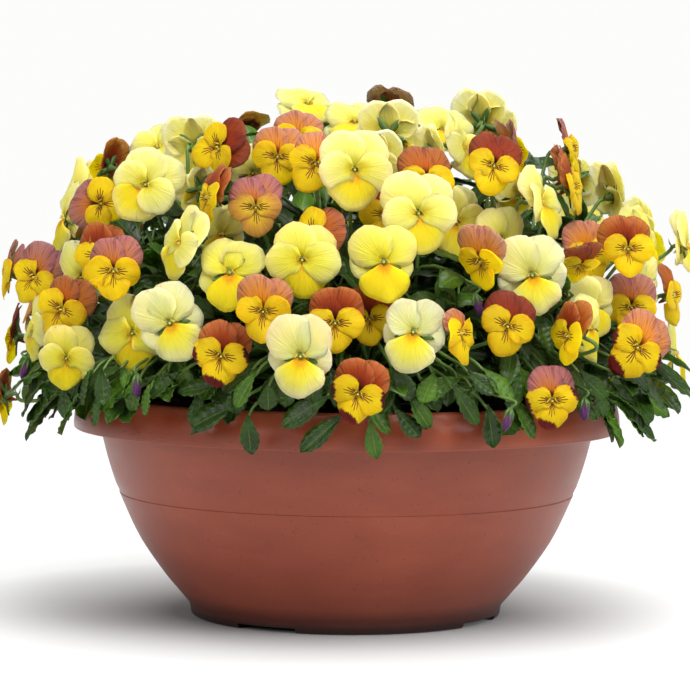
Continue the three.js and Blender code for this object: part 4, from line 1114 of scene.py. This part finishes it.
flowerStem = {
    "behind": 15, "neck": 16, "fork": 0.4, "joints": [0.25, 0.6], "bend": 30, "swing": 9, "tries": 60,
    "foot": (9.5, 100.3),  # how far from the plant's middle it stands, and how high it starts
    "leaves": (1.2, 4.5, 8.5),  # how the stalk leaves the back of the bloom
    "neckRadii": ([0, 3, 5, 8, 10], [2.4, 2.5, 2.0]),  # steps along it, and the thick end
    "thin": (1.3, 1.05, 1.35),  # below the bloom, along the way and at the foot
    "ownSteps": 13,
    "scales": ((0.42, -1), (0.46, 1)),  # where two small scales sit, and on which side
    "scale": ((0.7, 0, 0.5), (2.2, 1.2, 0.45), (3.0, 3.4, 0.1)),  # outwards, up and radius
}


def stalkLines(members, foot, draw, slack):
    behind = [
        b["place"] - b["face"] * flowerStem["behind"] * b["size"] + vec(0, 0, -5)
        + loose(draw) * flowerStem["swing"] * slack
        for b in members
    ]
    neck = foot + vec(0, 0, flowerStem["neck"])
    middle = sum(behind) / len(behind)
    fork = neck + (middle - neck) * flowerStem["fork"] + loose(draw) * flowerStem["bend"] * slack
    lines = []
    for i, (bloom, point) in enumerate(zip(members, behind)):
        start = [bloom["place"] - bloom["face"] * bloom["size"] * d for d in flowerStem["leaves"]]
        if i == 0:
            route = start + [point, fork, neck, foot]
        else:
            joint = fork + (neck - fork) * flowerStem["joints"][i - 1]
            route = start + [point, point + (joint - point) * 0.5 + vec(0, 0, 3), joint]
        lines.append(curveThrough(route, 5))
    return lines


def addStalks(skin, members, foot, draw):
    def attempt(i):
        lines = stalkLines(members, foot, draw, i / flowerStem["tries"])
        steps = flowerStem["ownSteps"]  # up to here a stalk may stand in its own bloom
        cuts = sum(cutsBlooms(line[:steps], [b["number"]]) for line, b in zip(lines, members))
        return cuts + sum(cutsBlooms(line[steps:]) for line in lines), lines

    steps, thick = flowerStem["neckRadii"]
    upper, along, lower = flowerStem["thin"]
    for bloom, line in zip(members, fewestCuts(flowerStem["tries"], attempt)):
        radii = np.full(len(line), along)
        radii[:11] = np.interp(np.arange(11), steps, [r * bloom["size"] for r in thick] + [upper, along])
        radii[-4:] = np.linspace(along, lower, 4)
        skin.addTube(line, radii, 8, stalkGreen)
        for share, way in flowerStem["scales"]:
            k = int(len(line) * share)
            side = unit(np.cross(line[k + 1] - line[k], vec(0.2, 0.3, 0.9))) * way
            scale = [line[k] + side * out + vec(0, 0, up) for out, up, _ in flowerStem["scale"]]
            skin.addTube(scale, [radius for _, _, radius in flowerStem["scale"]], 4, sepalGreen)


def makeSprays():
    draw = random.Random(7)
    ring, low = flowerStem["foot"]
    for i, plant in enumerate(plants):
        own = [spray for spray in sprays if spray["plant"] == i]
        for k, spray in enumerate(own):
            skin = Skin()
            for bloom in spray["blooms"]:
                addBloom(skin, bloom, draw)
            addStalks(skin, spray["blooms"], plant + onRing(ring, k * 2 * math.pi / len(own), low), draw)
            skin.build(spray["name"].replace("_spray_", "Spray"), spray["name"], spray["kind"] + "_petal")


makeSprays()
print("sprays made")

leafForm = {
    "inner": (13, 3, 4),  # rows, columns and teeth of the leaves inside the plants
    "outer": (25, 5, 6),
    "long": (24, 37),
    "wide": 0.18,  # half width as a share of the length
    "thick": 0.4, "cup": 0.4, "tooth": 0.13, "wavy": 0.1, "twist": 0.25, "bend": 0.12,
    "neck": (0.12, 0.35),  # the share at its root that narrows into the petiole, and how narrow it gets
    "outline": (1.5, 0.72), "loose": (0.9, 1.1), "cupLoose": (0.3, 1.2), "edgeThin": (1.2, 0.8),
}
# points along and aside by which a leaf is tested for room, and what it keeps clear of
samples = [(0.1, 0), (0.4, 0.2), (0.4, -0.2), (0.6, 0), (0.8, 0.12), (0.8, -0.12), (1.0, 0)]
rimRoom = {"inner": 131, "outer": 152.5, "top": 125, "soilTop": 111}
shoots = {
    "count": 16, "leaves": 11, "level": (0.55, 0.94), "low": 0.05, "high": 0.95, "fan": 74, "tries": 12,
    "overRim": (8, 6),  # how far over the collar the tips and the bends stay
    "arch": 14, "root": 3.4, "stray": 1.6, "radii": (1.5, 0.8),
    "bareShare": 0.3,  # no leaves on the first part of a shoot
    "petiole": (7, 17), "petioleR": 0.75, "droop": (0.05, 0.4), "tipShort": 0.75,
    "leafTries": 14, "outside": 1.06, "young": 0.28,
}
crown = {"top": 111.5, "heights": (100.5, 104, 108, 110, 111.5), "radii": (4.5, 5.5, 6.5, 5.9, 3.5)}
frontLeaves = [
    # leaves that hang over the collar, from root to tip as the eye sees them
    ((-166, 126), (-184, 114)), ((-158, 120), (-178, 106)), ((-147, 119), (-160, 100)),
    ((-164, 137), (-184, 129)), ((-136, 121), (-141, 103)), ((-124, 134), (-146, 126)),
    ((-114, 130), (-121, 112)), ((-57, 116), (-86, 103)), ((-67, 127), (-92, 119)), ((-55, 110), (-54, 88)),
    ((-9, 120), (-36, 105)), ((-1, 110), (-24, 89)), ((13, 107), (16, 86)), ((26, 113), (39, 97)),
    ((33, 121), (45, 103)), ((63, 130), (40, 122)), ((77, 116), (82, 93)), ((91, 117), (105, 98)),
    ((86, 121), (93, 146)), ((112, 144), (106, 160)), ((149, 131), (167, 134)), ((143, 123), (160, 116)),
    ((146, 118), (166, 105)), ((136, 116), (150, 100)),
]


def addLeaf(skin, leaf, finish, draw, wide=None, fine=False):
    # a toothed leaf, folded a little at its middle vein
    root, along, up, long, droop = leaf
    half = (wide or leafForm["wide"] * long) * draw.uniform(*leafForm["loose"])
    side = unit(np.cross(along, up))
    rise = np.cross(side, along)
    rows, cols, teethCount = leafForm["outer" if fine else "inner"]
    s, t = np.meshgrid(np.linspace(0, 1, rows), np.linspace(-1, 1, cols), indexing="ij")
    (fullest, blunt), (neck, narrow) = leafForm["outline"], leafForm["neck"]
    body = np.sin(math.pi * s**fullest) ** blunt
    body = np.where(s < neck, body * (narrow + (1 - narrow) * s / neck), body)
    teeth = np.abs(np.sin(math.pi * teethCount * (s + 0.06)))
    width = half * (body * (1 - leafForm["tooth"] + leafForm["tooth"] * 1.4 * teeth) + 0.03)
    x = t * np.where(np.abs(t) < 0.9, half * body * 0.95 + 0.1, width)
    twist = draw.uniform(-leafForm["twist"], leafForm["twist"])
    aside = np.abs(t)
    lift = aside**1.3 * half * leafForm["cup"] * draw.uniform(*leafForm["cupLoose"]) - droop * long * s**2
    wave = leafForm["wavy"] * np.sin(2 * math.pi * teethCount * s - 2.0 * aside)
    lift += half * wave * aside * (1 - 0.3 * aside)
    lift += x * twist * s
    bend = draw.uniform(-leafForm["bend"], leafForm["bend"]) * long * s**2
    middle = root + s[..., None] * long * along + (x + bend)[..., None] * side + lift[..., None] * rise
    thick, thinner = leafForm["edgeThin"]
    deep = (leafForm["thick"] / 2 * (thick - thinner * aside))[..., None] * rise
    skin.addBlade(middle + deep, middle - deep, np.stack([t / 2 + 0.5, s], axis=-1), finish)


def fitsIn(leaf, outside):
    # whether a leaf keeps clear of the pot, the blooms and what lies beyond the canopy, and hides no bloom
    root, along, up, long, droop = leaf
    side = unit(np.cross(along, up))
    rise = np.cross(side, along)
    points = [root + along * s * long + side * t * long - rise * droop * long * s * s for s, t in samples]
    points = np.array(points)
    reach, height = np.hypot(points[:, 0], points[:, 1]), points[:, 2]
    inSoil = (height < rimRoom["soilTop"]) & (reach <= rimRoom["inner"])
    inRim = (height < rimRoom["top"]) & (reach > rimRoom["inner"]) & (reach < rimRoom["outer"])
    if (inSoil | inRim).any() or cutsBlooms(points) or hidesBloom(points):
        return False
    return max(canopyLevel(p) for p in points) <= outside


def leafTone(draw, young):
    return leafYoung if draw.random() < young else leafGreen


def addPetiole(skin, at, leaf, rise, steps):
    # the leaf's own thin stalk, from the shoot into its root
    root, along = leaf[:2]
    line = [at, (at + root) / 2 + vec(0, 0, rise), root + along * 2]
    skin.addStalk(line, steps, shoots["petioleR"], shoots["petioleR"])


def within(level, direction):
    # a place between the middle of the canopy's foot and its skin
    return vec(0, 0, canopy["foot"]) * (1 - level) + skinAlong(direction) * level


def growShoot(skin, plant, heading, rise, draw):
    level = draw.uniform(*shoots["level"])
    end = within(level, unit(onRing(math.sqrt(max(0.05, 1 - rise * rise)), heading, rise)))
    tipOver, bendOver = shoots["overRim"]
    end[2] = max(end[2], collar["topZ"] + tipOver)
    foot = plant + onRing(shoots["root"], heading, crown["top"] - 1)
    way = (foot + end) / 2 + vec(0, 0, shoots["arch"])
    way[2] = max(way[2], collar["topZ"] + bendOver)

    def attempt(i):
        stray = loose(draw, z=(-0.4, 1)) * i * shoots["stray"]
        line = curveThrough([foot, way + stray, end + stray * 0.4], 8)
        return cutsBlooms(line), line

    line = fewestCuts(shoots["tries"], attempt)
    skin.addTube(line, np.linspace(*shoots["radii"], len(line)), 6, stalkGreen)
    for k in range(shoots["leaves"]):
        share = shoots["bareShare"] + (1 - shoots["bareShare"]) * k / (shoots["leaves"] - 1)
        at = line[min(int(share * (len(line) - 1)), len(line) - 1)]
        out = outward(at)
        for _ in range(shoots["leafTries"]):
            angle = draw.uniform(0, 2 * math.pi)
            along = unit(out * draw.uniform(0.2, 0.9) + onRing(1, angle, draw.uniform(-0.1, 0.7)) * 0.8)
            root = at + along * draw.uniform(*shoots["petiole"]) + vec(0, 0, draw.uniform(-2, 4))
            long = draw.uniform(*leafForm["long"]) * (shoots["tipShort"] if share > 0.95 else 1.0)
            up = unit(out + vec(draw.uniform(-0.5, 0.5), draw.uniform(-0.5, 0.5), 1.0))
            leaf = (root, along, up, long, draw.uniform(*shoots["droop"]))
            if fitsIn(leaf, shoots["outside"]):
                addLeaf(skin, leaf, leafTone(draw, shoots["young"]), draw)
                addPetiole(skin, at, leaf, 1.5, 3)
                break
    return line[2:]


rimLeaf = {
    "tries": 8, "longer": 1.05, "young": 0.25, "droop": (0.0, 0.2), "radii": (1.2, 0.75),
    "wide": (4.8, 0.19),  # the narrowest half width, or this share of the length
    "overRim": (8, 4),  # how far its stalk passes over the collar
    "turned": 170,  # the height at which the canopy's outward direction is taken for its face
    "sideways": 0.4, "tipped": (-1.5, 0.3), "upward": (0.3, 0.5),
    "tested": 0.08,  # the droop with which its room is tested
    "way": (0.55, 0.25),  # where its stalk bends, as shares of the way
}


def growRimLeaf(skin, plant, root, tip, draw, keep):
    for i in range(1 if keep else rimLeaf["tries"]):
        stray = loose(draw) * i
        start, end = root + stray, tip + stray
        along = end - start
        long = np.linalg.norm(along) * rimLeaf["longer"]
        along = unit(along)
        aside = abs(start[0]) / canopy["across"]
        sway = draw.uniform(-rimLeaf["sideways"], rimLeaf["sideways"])
        (least, more), (outer, inner) = rimLeaf["upward"], rimLeaf["way"]
        tilt = vec(sway, draw.uniform(*rimLeaf["tipped"]) * aside, least + more * aside)
        up = unit(outward(vec(start[0], start[1], rimLeaf["turned"])) * (1 - 0.5 * aside) + tilt)
        if not keep and not fitsIn((start, along, up, long, rimLeaf["tested"]), math.inf):
            continue
        finish = leafTone(draw, rimLeaf["young"])
        narrowest, wide = rimLeaf["wide"]
        leaf = (start, along, up, long, draw.uniform(*rimLeaf["droop"]))
        addLeaf(skin, leaf, finish, draw, wide=max(narrowest, long * wide), fine=True)
        foot = plant + vec(0, 0, crown["top"] - 1)
        way = foot + (start - foot) * outer
        way[2] = max(start[2], collar["topZ"]) + rimLeaf["overRim"][0]
        over = start + (way - start) * inner + vec(0, 0, 3)
        over[2] = max(over[2], collar["topZ"] + rimLeaf["overRim"][1])
        skin.addStalk([foot, way, over, start + along * 2], 5, *rimLeaf["radii"])
        return


fringe = {
    # front: as the eye sees it, from the left; around: degrees from right to left behind
    "front": 56, "frontFrom": -158, "frontSpan": 316, "frontHigh": (119, 139), "frontBack": (4, 26),
    "frontLean": 16, "frontDrop": (14, 26),
    "around": 84, "aroundFrom": -52, "aroundSpan": 284, "aroundHigh": (122, 150), "aroundLean": 9,
    "aroundHang": (2, 24), "root": (0.78, 0.88), "reach": (0.1, 0.14),
    "kept": 12,  # how far behind the skin the listed leaves lie
}


def listFringe(draw):
    # roots and tips of the leaves at the rim, and whether each must stay
    def onOval(share, turn, z):
        return vec(canopy["across"] * share * math.cos(turn), canopy["deep"] * share * math.sin(turn), z)

    leaves = [(placeSeen(*a, fringe["kept"]), placeSeen(*b, fringe["kept"]), True) for a, b in frontLeaves]
    for k in range(fringe["front"]):
        x = fringe["frontFrom"] + fringe["frontSpan"] * (k + draw.random()) / fringe["front"]
        z = draw.uniform(*fringe["frontHigh"])
        back = draw.uniform(*fringe["frontBack"])
        lean = draw.uniform(-fringe["frontLean"], fringe["frontLean"]) + x * 0.08
        drop = draw.uniform(*fringe["frontDrop"])
        leaves.append((placeSeen(x, z, back), placeSeen(x + lean, z - drop * 0.85, back * 0.8), False))
    for k in range(fringe["around"]):
        share = (k + draw.random()) / fringe["around"]
        turn = math.radians(fringe["aroundFrom"] + fringe["aroundSpan"] * share)
        lean = math.radians(draw.uniform(-fringe["aroundLean"], fringe["aroundLean"]))
        foot = draw.uniform(*fringe["aroundHigh"])
        hang = draw.uniform(*fringe["aroundHang"])
        share = draw.uniform(*fringe["root"])
        far = share + draw.uniform(*fringe["reach"])
        leaves.append((onOval(share, turn, foot), onOval(far, turn + lean, foot - hang), False))
    return leaves


fill = {
    "leaves": 56, "middleLeaves": 136, "level": (0.52, 0.88), "fan": 40, "tries": 8, "outside": 1.02,
    "nearest": 60,  # no leaf further than this from a shoot
    "young": 0.15, "droop": (0.05, 0.3),
}


def growFill(skin, heading, own, draw, count):
    # single leaves that close the gaps between the blooms, each on the nearest shoot
    spots = np.concatenate(own)
    for _ in range(count):
        if heading is None:
            turn = draw.uniform(-math.pi, math.pi)
        else:
            turn = heading + math.radians(draw.uniform(-fill["fan"], fill["fan"]))
        height = draw.uniform(0.0, 0.97)
        there = within(draw.uniform(*fill["level"]), onRing(math.sqrt(1 - height * height), turn, height))
        away = np.linalg.norm(spots - there, axis=1)
        if away.min() > fill["nearest"]:
            continue
        at = spots[int(np.argmin(away))]
        out = outward(there)
        for _ in range(fill["tries"]):
            along = unit(out * 0.4 + loose(draw, z=(-0.3, 1)))
            up = unit(out + vec(draw.uniform(-0.3, 0.3), draw.uniform(-0.8, 0.2), 0.7))
            long = draw.uniform(*leafForm["long"])
            leaf = (there, along, up, long, draw.uniform(*fill["droop"]))
            if fitsIn(leaf, fill["outside"]):
                addLeaf(skin, leaf, leafTone(draw, fill["young"]), draw)
                addPetiole(skin, at, leaf, 3, 4)
                break


buds = {
    # across, up and how far behind the canopy's surface, as the eye sees them
    "places": [(-116, 130, 8), (90, 113, 0), (131, 119, 0), (-176, 138, 14), (70, 176, 16)],
    "radii": (0.6, 1.7, 2.3, 2.4, 1.8, 0.4),
    "shares": (0, 0.14, 0.36, 0.6, 0.85, 1.0),
    "long": 11,
    "sepals": ((-1.0, 0.4, 0.6), (2, 1.9, 0.9), (5.2, 2.6, 0.2)),  # down, outwards and radius
    "stalk": (1.1, 0.65),
    "sepalCount": 5,
}


def addBud(skin, plant, place, draw):
    # a closed bloom that nods at the end of its own stalk
    down = unit(vec(draw.uniform(-0.3, 0.3), draw.uniform(-0.3, 0.1), -1))
    line = [place + down * buds["long"] * share for share in buds["shares"]]
    skin.addTube(line, buds["radii"], 8, petalFinishes["budPetal"])
    side = unit(np.cross(down, vec(0, 1, 0.1)))
    ahead = np.cross(side, down)
    for k in range(buds["sepalCount"]):
        turn = math.radians(360 / buds["sepalCount"] * k)
        out = side * math.cos(turn) + ahead * math.sin(turn)
        line = [place + down * low + out * aside for low, aside, _ in buds["sepals"]]
        skin.addTube(line, [radius for _, _, radius in buds["sepals"]], 5, sepalGreen)
    foot = plant + vec(0, 0, crown["top"] - 1)
    over = place + vec(0, 3, 5)
    way = foot + (over - foot) * 0.5
    way[2] = max(over[2], collar["topZ"] + shoots["overRim"][1]) + 4
    skin.addStalk([foot, way, over, place - down * 0.5], 6, *buds["stalk"], 6)


def makePlants():
    draw = random.Random(41)
    rim = listFringe(draw)
    nodding = [placeSeen(*spot) for spot in buds["places"]]
    low, high, count = shoots["low"], shoots["high"], shoots["count"]
    for i, plant in enumerate(plants):
        skin = Skin()
        skin.addTube([plant + vec(0, 0, z) for z in crown["heights"]], crown["radii"], 12, stalkGreen)
        own = []
        for k in range(count):
            if i == 0:
                turn = 2 * math.pi * k / count + draw.uniform(-0.2, 0.2)
            else:
                turn = headings[i - 1] + math.radians(((k * 0.618) % 1 - 0.5) * shoots["fan"])
            rise = low + (high - low) * ((k + 0.5) / count) + draw.uniform(-0.05, 0.05)
            own.append(growShoot(skin, plant, turn, min(rise, 0.97), draw))
        if i == 0:
            growFill(skin, None, own, draw, fill["middleLeaves"])
        else:
            growFill(skin, headings[i - 1], own, draw, fill["leaves"])
        for place in nodding:
            if max(1, plantOf(place)) == i:
                addBud(skin, plant, place, draw)
        for root, tip, keep in rim:
            if max(1, plantOf(root)) == i:
                growRimLeaf(skin, plant, root, tip, draw, keep)
        skin.build(f"leafyPlant{i}", f"leafy_plant_{i}", "leaf")


makePlants()
print("plants made")

stageLook = {
    # in metres
    "low": -0.0003, "floorR": (0.002, 0.4, 1.6), "curveR": 4.0, "curveSteps": 12, "wallTop": 9.0, "round": 96,
    "floorTint": (0.35, 0.35, 0.347, 1), "wallTint": (1, 1, 0.99, 1), "backdrop": 0.98,
    "glow": (0.08, 0.22),  # painted light: where the floor starts to glow by itself, and where it glows in full
    "lift": 0.57,
    "shade": (-0.015, 0.01, 0),  # the middle of the painted shade round the bowl, where the floor's own glow is least
}


def addSheet(name, profile, finish):
    sheet = latheOf(name, profile, stageLook["round"], False, 1)
    sheet.data.shade_smooth()
    sheet.data.materials.append(finish.material)
    return sheet


def makeStage():
    low, floorEnd = stageLook["low"], stageLook["floorR"][-1]
    finish = Finish("paleFloor", {
        "Roughness": 0.85, "Specular IOR Level": 0.1,
        "Base Color": stageLook["floorTint"], "Emission Color": (1, 1, 1, 1),
    })
    # painted light: the floor glows by itself, fading out round a point left of and behind the bowl, which
    # leaves a painted shade there
    shade = {0: finish.place(), 1: stageLook["shade"]}
    shifted = finish.put("ShaderNodeVectorMath", shade, operation="SUBTRACT").outputs[0]
    away = finish.put("ShaderNodeVectorMath", {0: shifted}, operation="LENGTH").outputs["Value"]
    near, far = stageLook["glow"]
    share = Amount(finish, away) - near
    share = share.worked("DIVIDE", share, far - near).held()
    finish.feed(finish.shader.inputs["Emission Strength"], share * stageLook["lift"])
    addSheet("paleFloor", [(r, low) for r in stageLook["floorR"]], finish)

    curve = stageLook["curveR"]
    profile = [(floorEnd, low)]
    for k in range(1, stageLook["curveSteps"] + 1):
        angle = math.radians(90 * k / stageLook["curveSteps"])
        profile.append((floorEnd + 0.4 + curve * math.sin(angle), curve * (1 - math.cos(angle))))
    profile.append((profile[-1][0], stageLook["wallTop"]))
    finish = Finish("whiteBackdrop", {
        "Base Color": (0, 0, 0, 1), "Specular IOR Level": 0,
        "Emission Color": stageLook["wallTint"], "Emission Strength": stageLook["backdrop"],
    })
    wall = addSheet("whiteBackdrop", profile, finish)
    wall.visible_diffuse = False  # it is only seen, and lights nothing
    wall.visible_glossy = False
    wall.visible_shadow = False


lampPlan = {
    # where each soft lamp hangs, its size in metres and its power in watts
    "overhead": {"at": (0.4, -1.2, 2.3), "size": 1.7, "power": 88},
    "right": {"at": (2.3, -1.6, 1.7), "size": 1.2, "power": 23},
    "left": {"at": (-2.3, -2.0, 1.4), "size": 1.4, "power": 23},
    "behind": {"at": (0.2, 1.9, 2.1), "size": 1.3, "power": 24},
}
lampAim = (0, 0, 0.12)
roomLight = 0.44


def hang(name, thing, at, aim, roll=0.0):
    # puts a lamp or the camera at its place, turned towards its aim
    holder = bpy.data.objects.new(name, thing)
    holder.location = at
    towards = (Vector(aim) - Vector(at)).to_track_quat("-Z", "Y").to_matrix()
    holder.rotation_euler = (towards @ Matrix.Rotation(math.radians(roll), 3, "Z")).to_euler()
    bpy.context.scene.collection.objects.link(holder)
    return holder


def makeLamps():
    for name, plan in lampPlan.items():
        lamp = bpy.data.lights.new(name, "AREA")
        lamp.shape = "SQUARE"
        lamp.size = plan["size"]
        lamp.energy = plan["power"]
        hang(name, lamp, plan["at"], lampAim).visible_camera = False
    world = bpy.data.worlds.new("softRoom")
    world.use_nodes = True
    sky = world.node_tree.nodes["Background"]
    sky.inputs["Color"].default_value = (1, 1, 1, 1)
    sky.inputs["Strength"].default_value = roomLight
    bpy.context.scene.world = world
    bpy.context.scene.view_settings.view_transform = "Standard"
    bpy.context.scene.view_settings.look = "None"


cameraPlan = {"at": (0, -1.78, 0.26), "aim": (-0.0014, 0, 0.148), "lens": 168.9, "roll": 0.5}


def makeCamera():
    camera = bpy.data.cameras.new("camera")
    camera.lens = cameraPlan["lens"]
    camera.sensor_width = 36
    camera.clip_start = 0.05
    camera.clip_end = 60
    bpy.context.scene.camera = hang("camera", camera, cameraPlan["at"], cameraPlan["aim"], cameraPlan["roll"])


makeStage()
makeLamps()
makeCamera()
print("stage, lamps and camera set")

shown = [piece for piece in bpy.context.scene.objects if piece.type == "MESH" and not piece.hide_render]
print("faces in all:", sum(len(piece.data.polygons) for piece in shown))
